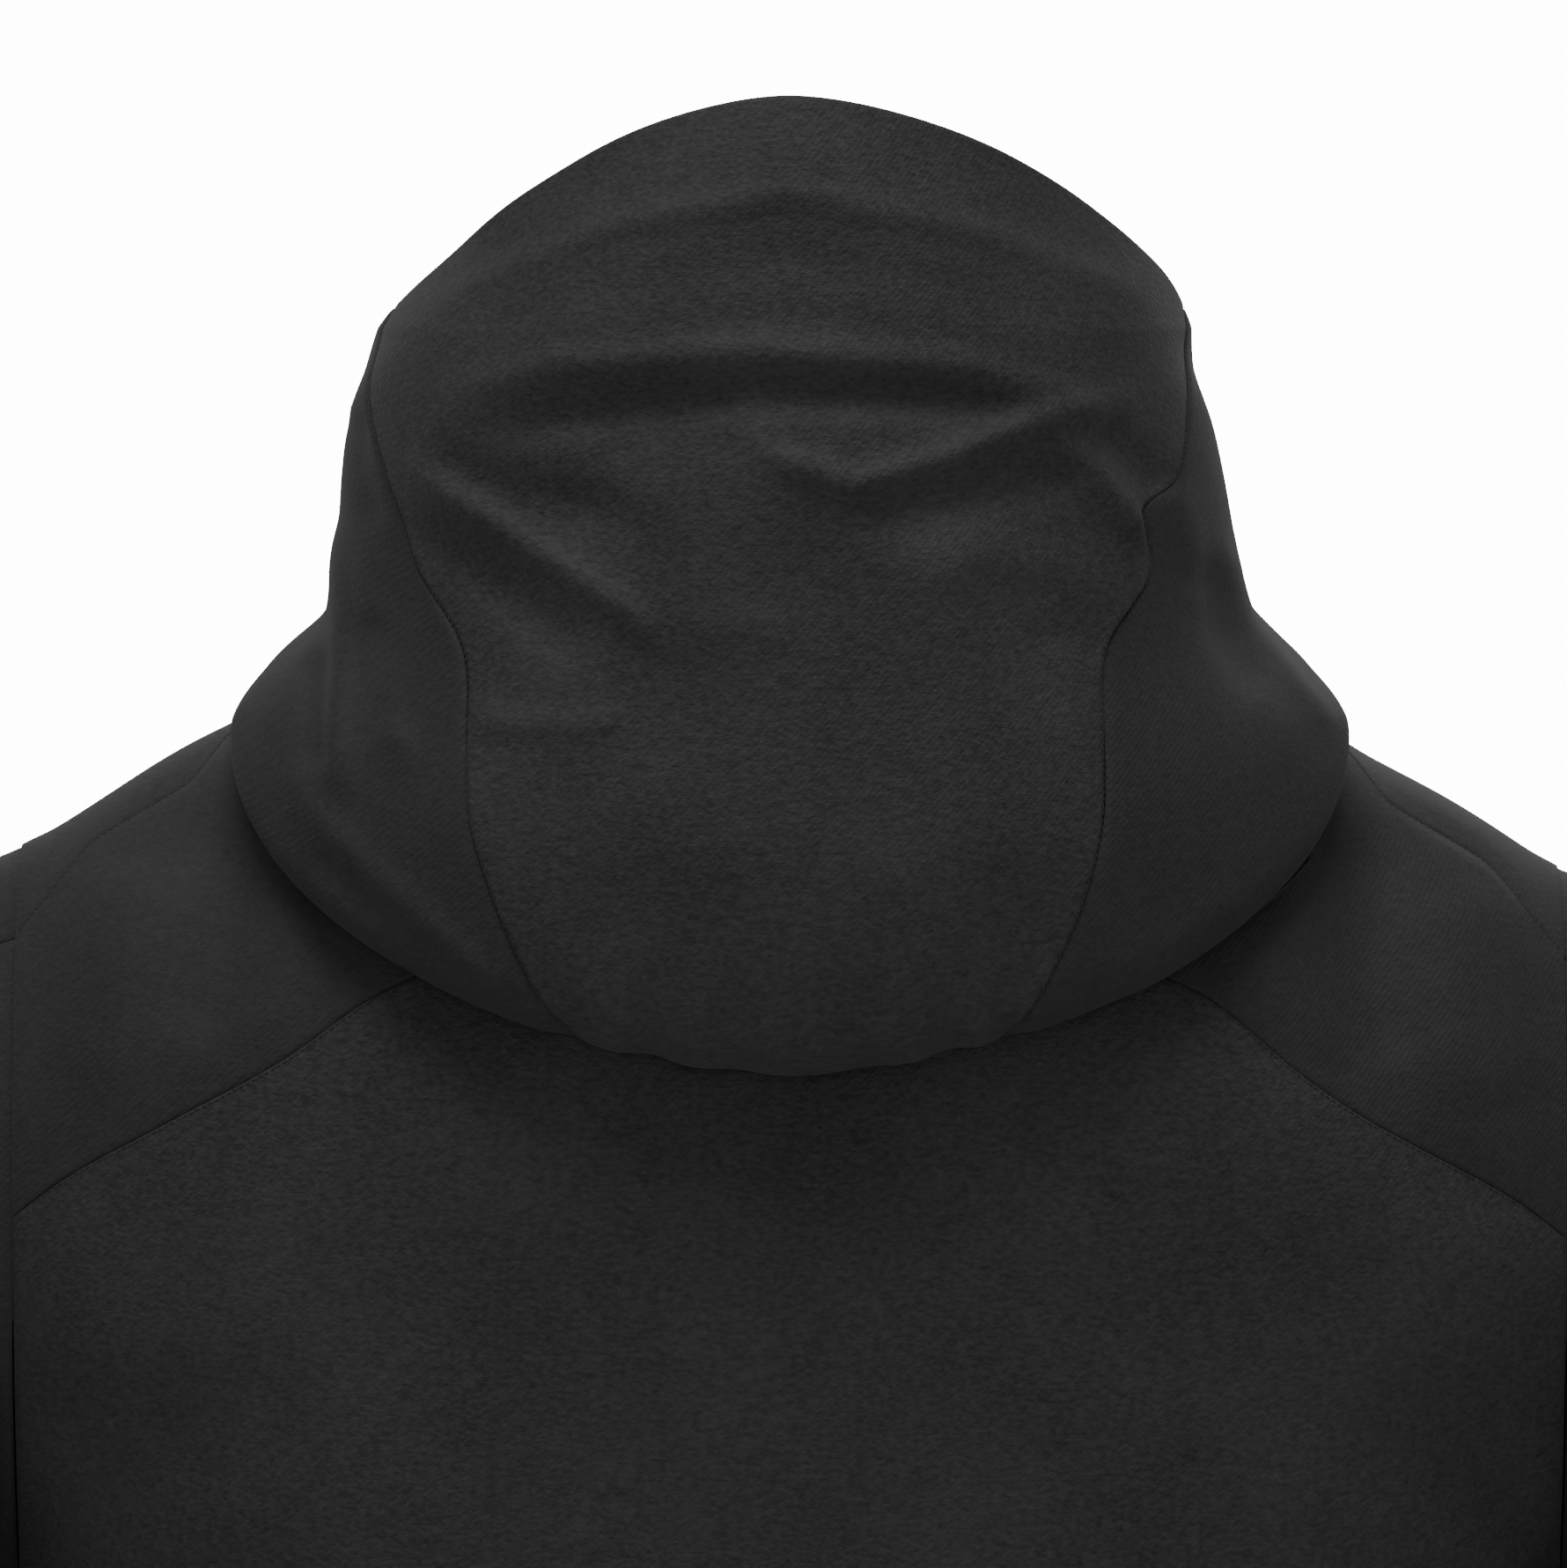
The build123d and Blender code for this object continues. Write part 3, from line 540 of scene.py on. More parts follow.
# ---------------------------------------------------------------- materials
def node_tree(name):
    mat = bpy.data.materials.new(name)
    mat.use_nodes = True
    nodes, links = mat.node_tree.nodes, mat.node_tree.links
    shader = nodes["Principled BSDF"]
    place = nodes.new("ShaderNodeTexCoord").outputs["Object"]
    return mat, nodes, links, shader, place


def stretched(nodes, links, place, scale, turn=0.0):
    m = nodes.new("ShaderNodeMapping")
    m.inputs["Scale"].default_value = scale
    m.inputs["Rotation"].default_value = (0, turn, 0)
    links.new(place, m.inputs["Vector"])
    return m.outputs["Vector"]


def noise(nodes, links, vector, scale, detail=3.0, rough=0.6):
    n = nodes.new("ShaderNodeTexNoise")
    n.inputs["Scale"].default_value = scale
    n.inputs["Detail"].default_value = detail
    n.inputs["Roughness"].default_value = rough
    links.new(vector, n.inputs["Vector"])
    return n.outputs["Fac"]


def add(nodes, links, a, b, wb):
    """a + b * wb"""
    m = nodes.new("ShaderNodeMath")
    m.operation = "MULTIPLY_ADD"
    links.new(b, m.inputs[0])
    m.inputs[1].default_value = wb
    links.new(a, m.inputs[2])
    return m.outputs[0]


def tone(nodes, links, fac, shader, dark, light, lo=0.3, hi=0.7):
    ramp = nodes.new("ShaderNodeValToRGB")
    ramp.color_ramp.elements[0].position = lo
    ramp.color_ramp.elements[1].position = hi
    ramp.color_ramp.elements[0].color = (*dark, 1)
    ramp.color_ramp.elements[1].color = (*light, 1)
    links.new(fac, ramp.inputs["Fac"])
    links.new(ramp.outputs["Color"], shader.inputs["Base Color"])


def bump(nodes, links, height, shader, strength, depth):
    b = nodes.new("ShaderNodeBump")
    b.inputs["Strength"].default_value = strength
    b.inputs["Distance"].default_value = depth
    links.new(height, b.inputs["Height"])
    links.new(b.outputs["Normal"], shader.inputs["Normal"])


def shell_fabric(name, dark, light, crepe, twill, valley_shade, depth, rough=0.72, shine=0.35, sheen=0.06):
    """Matt stretch laminate: crinkled crepe grain over a very fine diagonal twill; its colour has random
    patches plus painted shade in the low parts of the crinkle and grain.
    """
    mat, nodes, links, shader, place = node_tree(name)
    wide = stretched(nodes, links, place, (0.55, 0.8, 1.0))
    grain = noise(nodes, links, wide, 850.0, 3.0, 0.65)
    crinkle = noise(nodes, links, stretched(nodes, links, place, (0.5, 0.7, 1.2), 0.4), 300.0, 4.0, 0.7)
    rib = nodes.new("ShaderNodeTexWave")
    rib.bands_direction = "DIAGONAL"
    rib.inputs["Scale"].default_value = 330.0
    rib.inputs["Distortion"].default_value = 1.5
    rib.inputs["Detail"].default_value = 2.0
    links.new(stretched(nodes, links, place, (1.0, 0.35, 1.0)), rib.inputs["Vector"])
    height = add(nodes, links, grain, crinkle, crepe)
    height = add(nodes, links, height, rib.outputs["Fac"], twill)
    patches = noise(nodes, links, place, 22.0, 3.0, 0.5)
    # colour: the random patches are the fabric's own tone; the crinkle and grain noises that make the bumps
    # also darken the colour where the bumps are low, which is painted shade
    patches_and_valley_shade = add(nodes, links, patches, crinkle, 0.7)
    patches_and_valley_shade = add(nodes, links, patches_and_valley_shade, grain, valley_shade)
    middle, spread = 0.5 * (1.7 + valley_shade), 0.17 * (1.7 + valley_shade)
    even = nodes.new("ShaderNodeMapRange")
    even.inputs["From Min"].default_value = middle - spread
    even.inputs["From Max"].default_value = middle + spread
    links.new(patches_and_valley_shade, even.inputs["Value"])
    tone(nodes, links, even.outputs["Result"], shader, dark, light, 0.0, 1.0)
    bump(nodes, links, height, shader, 0.7, depth)
    shader.inputs["Roughness"].default_value = rough
    shader.inputs["Specular IOR Level"].default_value = shine
    shader.inputs["Sheen Weight"].default_value = sheen
    shader.inputs["Sheen Roughness"].default_value = 0.45
    return mat


def plain_weave(name, dark, light, scale, rough, strength=0.5, depth=0.0002):
    """Close woven tape, thread or brushed lining."""
    mat, nodes, links, shader, place = node_tree(name)
    rib = nodes.new("ShaderNodeTexWave")
    rib.inputs["Scale"].default_value = scale
    rib.inputs["Distortion"].default_value = 0.6
    rib.bands_direction = "Z"
    links.new(place, rib.inputs["Vector"])
    fuzz = noise(nodes, links, place, scale * 2.2, 3.0)
    tone(nodes, links, fuzz, shader, dark, light)
    bump(nodes, links, add(nodes, links, fuzz, rib.outputs["Fac"], 0.8), shader, strength, depth)
    shader.inputs["Roughness"].default_value = rough
    shader.inputs["Specular IOR Level"].default_value = 0.3
    return mat


def moulded(name, dark, light, rough, metallic=0.0, grain=1400.0, depth=0.00006):
    """Moulded plastic or coated metal with a fine grain and rubbed spots."""
    mat, nodes, links, shader, place = node_tree(name)
    fine = noise(nodes, links, place, grain, 2.0)
    worn = noise(nodes, links, place, 160.0, 4.0)
    tone(nodes, links, worn, shader, dark, light, 0.35, 0.75)
    bump(nodes, links, fine, shader, 0.4, depth)
    spread = nodes.new("ShaderNodeMapRange")
    spread.inputs["To Min"].default_value = rough - 0.07
    spread.inputs["To Max"].default_value = rough + 0.1
    links.new(worn, spread.inputs["Value"])
    links.new(spread.outputs["Result"], shader.inputs["Roughness"])
    shader.inputs["Metallic"].default_value = metallic
    return mat


# Both shell fabrics: the spread between the dark and light colours feeds the painted shade in the hollows of
# the grain
CREPE = shell_fabric("shell_crepe", (0.0024, 0.0024, 0.0026), (0.0200, 0.0203, 0.0214),
                     0.35, 0.1, 2.6, 0.0006, 0.74, 0.22, 0.02)
SMOOTH = shell_fabric("shell_smooth", (0.0046, 0.0047, 0.0050), (0.0140, 0.0143, 0.0152),
                      0.3, 0.2, 1.8, 0.0004, 0.76, 0.2, 0.015)
LINING = plain_weave("lining_tricot", (0.016, 0.017, 0.019), (0.028, 0.029, 0.033), 520.0, 0.85)
THREAD = plain_weave("seam_thread", (0.004, 0.004, 0.005), (0.009, 0.009, 0.010), 1500.0, 0.6)
TAPE = plain_weave("zip_tape_weave", (0.008, 0.008, 0.009), (0.015, 0.015, 0.017), 900.0, 0.5)
FILM = moulded("seam_film", (0.012, 0.012, 0.014), (0.02, 0.02, 0.023), 0.42)
PLASTIC = moulded("black_plastic", (0.010, 0.010, 0.011), (0.022, 0.022, 0.024), 0.45)
METAL = moulded("coated_metal", (0.012, 0.012, 0.013), (0.030, 0.030, 0.033), 0.34, 0.6)
HOOKS = plain_weave("hook_patch", (0.006, 0.006, 0.007), (0.02, 0.02, 0.022), 1100.0, 0.8, 1.0, 0.0005)


def dress(obj, mat, body=None, nodes=()):
    obj.data.materials.clear()
    obj.data.materials.append(mat)
    if nodes:
        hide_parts(*nodes)
    if body:
        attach(obj, body)
    return obj


# ---------------------------------------------------------------- torso panels
def back_fn(u, v):
    u, v = grid(u, v)
    top = np.full(u.shape, -120.0)

    def at(z):
        p0 = np.maximum(SIDE_PHI, edge_phi(z))
        return girth(mix(p0, 180 - p0, u), z)

    for _ in range(10):
        top = yoke_seam_z(at(top)[..., 0])
    knee = 0.72
    z = np.where(v < knee, mix(HEM_Z, -250.0, v / knee), mix(-250.0, top, (v - knee) / (1 - knee)))
    return at(z)


def back_folds(p, u, v):
    x, z = p[..., 0], p[..., 2]
    low = ease((-230 - z) / 250)
    drape = 1.6 * low * ripples(x, z, 11, 150, 900)
    soft = 0.9 * ripples(x, z, 12, 170, 210)
    side = 1.8 * ease((np.abs(x) - 120) / 60) * ease((-150 - z) / 60) * ripples(z, np.abs(x), 13, 90, 200)
    edge = ease(np.minimum(u, 1 - u) / 0.04) * ease((1 - v) / 0.05) * ease(v / 0.07)
    return (drape + soft + side) * edge


def back_neck_fn(u, v):
    def low(t):
        x = RAGLAN_X * (1 - 2 * t)
        return x, arch_angle(x, yoke_seam_z(x))

    def top(t):
        return neck_xa(mix(REAR_TH, 180 - REAR_TH, t))

    def other(t):
        x, a = raglan(t)
        return -x, a

    return arch(*coons(low, top, raglan, other, u, v))


def front_fn(u, v):
    u, v = grid(u, v)
    top = np.full(u.shape, -110.0)

    def at(z):
        p1 = np.where(z < POCKET_TOP_Z, pocket_phi(z), edge_phi_front(z))
        p0 = -90 + np.arctan2(ZIP_HALF, zip_depth(z)) / DEG
        return girth(mix(p0, p1, u), z)

    for _ in range(10):
        top = mix(top, front_seam_z(at(top)[..., 0]), 0.8)
    knee = 0.7
    low, high = mix(HEM_Z, POCKET_TOP_Z, v / knee), mix(POCKET_TOP_Z, top, (v - knee) / (1 - knee))
    z = np.where(v < knee, low, high)
    return at(z)


def front_folds(p, u, v):
    x, z = p[..., 0], p[..., 2]
    drape = 2.0 * ease((-260 - z) / 220) * ripples(x, z, 21, 120, 700)
    pull = 1.6 * ripples(x + 0.6 * z, z - 0.4 * x, 22, 120, 260) * ease((z + 420) / 200)
    edge = ease(u / 0.12) * ease((1 - u) / 0.06) * ease((1 - v) / 0.05) * ease(v / 0.07)
    return (drape + pull) * edge


def side_fn(u, v):
    u, v = grid(u, v)

    def angle(z):
        return mix(pocket_phi(z), SIDE_PHI, u)

    top = np.full(u.shape, -250.0)
    for _ in range(14):
        y = ARM_X * np.tan(angle(top) * DEG)
        d = np.where(y > 0, back_depth(top), front_depth(150.0, top))
        top = mix(top, arm_low(y * MID_DEPTH / d), 0.5)
    knee = 0.86
    z = np.where(v < knee, mix(HEM_Z, -300.0, v / knee), mix(-300.0, top, (v - knee) / (1 - knee)))
    return girth(angle(z), z)


def side_folds(p, u, v):
    y, z = p[..., 1], p[..., 2]
    folds = 2.2 * ripples(z + 0.8 * y, y, 31, 110, 120) * ease((z + 640) / 120)
    return folds * ease(u / 0.1) * ease((1 - u) / 0.1) * ease((1 - v) / 0.06)


FINE_SEAM = (0.06, 0.06, 0.06, 0.06)


def torso_piece(name, fn, nu, nv, mat, nodes, k=1, shape=None, roll=(0.6, 0.6, 0.6, 0.5), gap=FINE_SEAM):
    middle = fn(np.array([0.5]), np.array([0.5]))[0]
    inside = np.array([0.0, 0.0, min(middle[2], -60.0) - 30.0])
    obj = slab(name, mirror_of(fn, k), nu, nv, inside, shape=shape, roll=roll, gap=gap)
    return dress(obj, mat, "shell", nodes)


def build_torso():
    torso_piece("back_body", back_fn, 90, 130, CREPE, ["back_panel"], shape=back_folds)
    torso_piece("back_neck", back_neck_fn, 50, 26, SMOOTH, ["back_neck_panel"])
    for side, k in SIDES:
        torso_piece("front_" + side, front_fn, 46, 130, CREPE, ["front_panel_" + side], k, front_folds)
        torso_piece("underarm_" + side, side_fn, 30, 110, SMOOTH, ["side_panel_" + side], k, side_folds)


# ---------------------------------------------------------------- shoulders and sleeves
def rear_shoulder_fn(u, v):
    def low(t):
        x = mix(RAGLAN_X, ARM_X, t)
        return x, arch_angle(x, yoke_seam_z(x))

    def top(t):
        x = mix(float(RING_X), ARM_X, t)
        return x, ridge_seam_a(x)

    a0, a1 = low(np.ones(1))[1][0], top(np.ones(1))[1][0]

    def outer(t):
        return ARM_X + 0 * t, mix(a0, a1, t)

    return arch(*coons(low, top, raglan, outer, u, v))


def shoulder_top_fn(u, v):
    def rear(t):
        x = mix(float(RING_X), ARM_X, t)
        return x, ridge_seam_a(x)

    def front(t):
        x = mix(float(RING_FX), ARM_X, t)
        return x, arch_angle(x, front_seam_z(x), True)

    a0, a1 = rear(np.ones(1))[1][0], front(np.ones(1))[1][0]

    def inner(t):
        return neck_xa(mix(REAR_TH, FRONT_TH, t))

    def outer(t):
        return ARM_X + 0 * t, mix(a0, a1, t)

    return arch(*coons(rear, front, inner, outer, u, v))


def sleeve_strip(psi0, psi1, s0, s1):
    return lambda u, v: sleeve(mix(psi0, psi1, np.asarray(v, float)), mix(s0, s1, np.asarray(u, float)))


def sleeve_folds(psi, s):
    """Drag lines under the arm, creases in the bend of the elbow, loose rings at the wrist."""
    inner = 0.5 - 0.5 * np.sin(psi * DEG)
    front = 0.5 - 0.5 * np.cos(psi * DEG)
    start = ease(s / 0.5)
    drag = 3.2 * inner * np.exp(-((s - 2.6) / 1.8) ** 2) * ripples(psi * 0.9 + 30 * s, s * 60, 41, 130, 150)
    bend = 4.2 * (0.35 + 0.65 * front) * np.exp(-((s - ELBOW) / 0.95) ** 2) * ripples(
        s * ROW + 0.22 * psi, psi, 42, 44, 340, 5)
    wrist = 2.6 * ease((s - 8.2) / 1.6) * ripples(s * ROW - 0.16 * psi, psi, 43, 58, 420, 5)
    soft = 1.5 * ripples(s * ROW, psi, 44, 190, 260)
    cuff = ease((10.95 - s) / 0.35)
    return (drag + bend + soft + wrist * cuff) * start * (0.25 + 0.75 * cuff)


ELBOW_MID = np.array([293.0, 6.0, -429.5])
ARM_DIR = np.array([0.233, 0.0, -0.972])
BEND_HALF = 52.0            # the cloth bends over this much to each side of the elbow


def sleeve_piece(name, psi0, psi1, s0, s1, nu, nv, nodes, k, blend, **more):
    fn = sleeve_strip(psi0, psi1, s0, s1)

    def folds(p, u, v):
        psi, s = mix(psi0, psi1, v), mix(s0, s1, u)
        return sleeve_folds(psi, s) * ease(v / 0.05) * ease((1 - v) / 0.05)

    centre = sleeve(np.array([90.0, -90.0]), np.full(2, (s0 + s1) / 2)).mean(axis=0)
    obj = slab(name, mirror_of(fn, k), nu, nv, centre * np.array([k, 1, 1]), shape=folds, **more)
    dress(obj, SMOOTH, None, nodes)
    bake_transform(obj)
    return obj


OPEN_END = (0.06, 0.0, 0.06, 0.06)


def build_sleeves():
    for side, k in SIDES:
        for part, fn, nu, nv, node in (("back_", rear_shoulder_fn, 46, 46, "rear_shoulder_"),
                                       ("front_", shoulder_top_fn, 50, 66, "shoulder_top_")):
            torso_piece("shoulder_" + part + side, fn, nu, nv, SMOOTH, [node + side], k,
                        shoulder_folds, roll=(0.5, 0, 0.5, 0.6), gap=OPEN_END)
        arm, fore = "sleeve_" + side, "forearm_" + side
        at_arm = ("shell", arm, (k * 0.2055, 0, -0.15), (k * 0.2235, 0, -0.15))
        lo, hi = (ELBOW_MID - ARM_DIR * BEND_HALF) * MM, (ELBOW_MID + ARM_DIR * BEND_HALF) * MM
        at_elbow = (arm, fore, (k * lo[0], lo[1], lo[2]), (k * hi[0], hi[1], hi[2]))
        upper = dict(roll=(0, 0.6, 0.6, 0.6), gap=(0, 0.06, 0.06, 0.06))
        for place, node, psi0, psi1, nv in (("back_", "rear_", -90, SLEEVE_SEAM, 46),
                                            ("front_", "front_", SLEEVE_SEAM, 270, 64)):
            sleeve_piece("upper_sleeve_" + place + side, psi0, psi1, 0, ELBOW_SPLIT, 110, nv,
                         ["sleeve_" + node + side], k, at_arm, **upper)
        for place, node, psi0, psi1, nv in (("back_", "rear_", -90, SLEEVE_SEAM, 40),
                                            ("front_", "front_", SLEEVE_SEAM, 270, 58)):
            sleeve_piece("lower_sleeve_" + place + side, psi0, psi1, ELBOW_SPLIT, CUFF, 120, nv,
                         ["forearm_" + node + side], k, at_elbow)


def shoulder_folds(p, u, v):
    x, z = p[..., 0], p[..., 2]
    edge = ease(u / 0.06) * ease((1 - u) / 0.08) * ease(v / 0.08) * ease((1 - v) / 0.08)
    a = np.abs(x)
    soft = 0.8 * ripples(x + 0.5 * z, z, 51, 95, 90)
    soft = soft + stroke(a, z, [(150, -40), (149, -72), (158, -106)], 13, -3.0)
    soft = soft + stroke(a, z, [(128, -62), (134, -86), (142, -108)], 11, 1.6)
    soft = soft + stroke(a, z, [(176, -56), (178, -86), (186, -118)], 13, 1.4)
    return edge * soft


# ---------------------------------------------------------------- facings and cuff closures
def hem_facing_fn(u, v):
    u, v = grid(u, v)
    z = mix(HEM_Z + 0.8, HEM_Z + 32, v)
    end = np.arctan2(ZIP_HALF + 1.5, zip_depth(z)) / DEG
    return girth(mix(-90 + end, 270 - end, u), z)


def pocket_bag_fn(u, v):
    return girth(mix(-58.0, POCKET_PHI + 2, np.asarray(u, float)), mix(-620.0, -400.0, np.asarray(v, float)))


def yoke_tape_fn(u, v):
    x = mix(196.0, -196.0, np.asarray(u, float))
    z = np.maximum(yoke_seam_z(x) + mix(-8.1, 8.1, np.asarray(v, float)), CAP_Z + 1)
    return arch(x, arch_angle(x, z))


def build_facings():
    inside = np.array([0.0, 0.0, -700.0])
    tape = slab("yoke_tape", yoke_tape_fn, 160, 10, np.array([0.0, 0.0, -200.0]), thick=0.4, lift=-1.9)
    dress(tape, FILM, "shell", ["seam_tape_yoke"])
    hem = slab("hem_inside", hem_facing_fn, 220, 8, inside, thick=0.8, lift=-1.9)
    dress(hem, LINING, "shell", ["hem_facing"])
    for side, k in SIDES:
        bag = slab("pocket_inside_" + side, mirror_of(pocket_bag_fn, k), 24, 50, inside, thick=1.4, lift=-3.0)
        dress(bag, LINING, "shell", ["pocket_bag_" + side])


def wrist_piece(name, psi0, psi1, s0, s1, lift, thick, mat, body, node, k, corner=0.0):
    """A flat piece on the lower sleeve; corner rounds the free end (v = 1)."""
    base = sleeve_strip(psi0, psi1, s0, s1)

    def fn(u, v):
        u, v = grid(u, v)
        over = np.clip((np.abs(2 * u - 1) - (1 - corner)) / max(corner, 1e-6), 0, 1)
        cut = 1 - (1 - np.sqrt(1 - over**2)) * 0.16 * (corner > 0)
        return base(u, v * cut)

    centre = base(np.array([0.5]), np.array([0.5]))[0] * np.array([0.86, 0.0, 1.0])
    obj = slab(name, mirror_of(fn, k), 30, 54, centre * np.array([k, 1, 1]), thick=thick, lift=lift,
               roll=(0.7, 0.7, 0.7, 0.7), settle=None)
    return dress(obj, mat, body, [node])


def build_cuffs():
    for side, k in SIDES:
        fore = "forearm_" + side
        wrist_piece("cuff_inside_" + side, -84, 264, 10.45, 10.97, -1.9, 0.8, LINING,
                    fore, "cuff_facing_" + side, k)
        wrist_piece("cuff_hook_patch_" + side, 102, 196, 10.56, 10.9, 1.25, 1.0, HOOKS,
                    fore, "cuff_loop_patch_" + side, k)
        wrist_piece("cuff_strap_" + side, 62, 128, 10.5, 10.95, 3.4, 1.6, SMOOTH,
                    "cuff_tab_" + side, "cuff_tab_" + side, k, corner=0.7)
        for row, u in (("cuff_strap_stitch_", 0.13), ("cuff_strap_stitch_low_", 0.87)):
            thread = seam_row(row + side, "cuff_strap_" + side, at(u), along(0.05, 0.86))
            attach(thread, "cuff_tab_" + side)


# ---------------------------------------------------------------- zip flap, chin guard and hanger
ZIP_LONG = (48 - HEM_Z) / math.cos(math.atan(ZIP_LEAN))


def on_zip(p):
    """From the zip's own lines (z up the zip, y inwards) to the jacket."""
    turn = -math.atan(ZIP_LEAN)
    c, s = math.cos(turn), math.sin(turn)
    y, z = p[..., 1], p[..., 2]
    return xyz(p[..., 0], c * y - s * z - ZIP_HEM_Y, s * y + c * z + HEM_Z)


def storm_flap_fn(u, v):
    u, v = grid(u, v)
    return on_zip(xyz(mix(-17.0, 19.0, u), 5.85 + 0 * u, mix(2.0, ZIP_LONG - 4, v)))


def chin_guard_fn(u, v):
    """Small garage folded over the top of the zip."""
    u, v = grid(u, v)
    run = mix(0.0, 17.0, v)
    bend = np.clip((run - 7.5) / 3.0, 0, 1) * math.pi / 2
    z = ZIP_LONG - 6.3 + np.where(run < 7.5, run, 7.5 + 1.6 * np.sin(bend))
    y = np.where(run < 7.5, -3.2, -3.2 + 1.6 * (1 - np.cos(bend))) + np.maximum(0, run - 10.5)
    return on_zip(xyz(mix(-12.0, 12.0, u), y, z))


def hanger_fn(u, v):
    """Loop of tape bowed off the inside of the back neck."""
    u, v = grid(u, v)
    x = mix(-31.0, 31.0, u)
    off = 5.4 * ease(np.minimum(u, 1 - u) / 0.14)
    wall = collar_fn(np.array([0.5]), np.array([0.42]))[0]
    th = np.arccos(np.clip(x / 86.0, -1, 1))
    y = (wall[1] - 3.4) * np.sin(th) - off
    return xyz(x, y, wall[2] + mix(-3.4, 3.4, v))


def build_zip_cover():
    far = np.array([0.0, 0.0, -300.0])
    flap = slab("zip_underflap", storm_flap_fn, 12, 160, far, thick=0.9, settle=None)
    dress(flap, SMOOTH, "shell", ["storm_flap"])
    guard = slab("zip_garage", chin_guard_fn, 24, 26, on_zip(np.array([0.0, 3.0, ZIP_LONG - 8])),
                 thick=0.9, roll=(0.5, 0.5, 0.5, 0.3), settle=None)
    dress(guard, SMOOTH, "shell", ["chin_guard"])
    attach(seam_row("zip_garage_stitch", "zip_garage", along(0.08, 0.92), at(0.12)), "shell")
    loop = slab("hanger_tape", hanger_fn, 60, 8, np.array([0.0, 200.0, 40.0]), thick=0.9,
                roll=(0, 0, 0.4, 0.4), settle=None)
    dress(loop, TAPE, "shell", ["hanger_loop"])


# ---------------------------------------------------------------- rows of stitches on the seams
def at(share):
    return lambda t: share + 0 * t


def along(start, end):
    return lambda t: mix(start, end, t)


def stitch(cloth, tag, u_of, v_of, body, **more):
    obj = seam_row(cloth + "_stitch_" + tag, cloth, u_of, v_of, **more)
    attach(obj, body)


def build_stitches():
    low = dict(pitch=2.6, long=1.8, wide=0.38)
    stitch("hood_centre", "left", at(0.004), along(0.03, 0.995), "hood")
    stitch("hood_centre", "right", at(0.996), along(0.03, 0.995), "hood")
    stitch("back_neck", "yoke", along(0.02, 0.98), at(0.012), "shell")
    stitch("back_body", "yoke", along(0.01, 0.99), at(0.9983), "shell")
    stitch("back_body", "hem", along(0.005, 0.995), at(0.038), "shell", **low)
    stitch("collar_outer", "top", along(0.03, 0.97), at(0.93), "shell", **low)
    for side, _ in SIDES:
        fore = "forearm_" + side
        stitch("front_" + side, "hem", along(0.03, 0.99), at(0.048), "shell", **low)
        stitch("front_" + side, "zip", at(0.035), along(0.01, 0.93), "shell", **low)
        stitch("underarm_" + side, "hem", along(0.03, 0.97), at(0.062), "shell", **low)
        stitch("shoulder_back_" + side, "ridge", along(0.02, 0.998), at(0.992), "shell")
        stitch("lower_sleeve_back_" + side, "cuff", at(0.905), along(0.01, 0.99), fore, **low)
        stitch("lower_sleeve_front_" + side, "cuff", at(0.905), along(0.01, 0.99), fore, **low)


# ---------------------------------------------------------------- collar
COLLAR_END = 81.0


def collar_fn(u, v):
    th = mix(-COLLAR_END, 180 + COLLAR_END, np.asarray(u, float))
    v = np.asarray(v, float)
    s, c = np.sin(th * DEG), np.cos(th * DEG)
    x0, a0 = neck_xa(th)
    low = arch(x0, a0)
    low = low * np.stack([0.985 + 0 * s, np.where(low[..., 1] > 0, 0.985, 1.0), 1 + 0 * s], axis=-1)
    low[..., 2] += 1.0
    top = xyz(mix(78, 86, ease(-s)) * c, s * np.where(s > 0, 60.0, zip_depth(48.0) + 0.6),
              curve([-1, -0.5, 0, 1], [48, 55, 63, 60], s))
    bow = 3.0 * np.sin(math.pi * v) * ease((s + 1.0) * 2)
    return mix(low, top, v[..., None]) + xyz(c * bow, s * bow, 0 * bow)


def collar_folds(p, u, v):
    th = mix(-COLLAR_END, 180 + COLLAR_END, u)
    soft = 1.3 * ripples(th, v * 60, 61, 70, 90) * np.sin(math.pi * np.clip(v, 0, 1))
    return soft * ease(u / 0.05) * ease((1 - u) / 0.05)


def build_collar():
    inside = np.array([0.0, 0.0, 20.0])
    outer = slab("collar_outer", collar_fn, 150, 22, inside, thick=1.4, shape=collar_folds)
    dress(outer, SMOOTH, "shell", ["collar"])
    inner = slab("collar_inner", collar_fn, 150, 22, inside, thick=1.0, lift=-1.7,
                 roll=(0.3, 0.3, 0, 0.3), shape=collar_folds)
    dress(inner, LINING, "shell", ["collar_lining"])


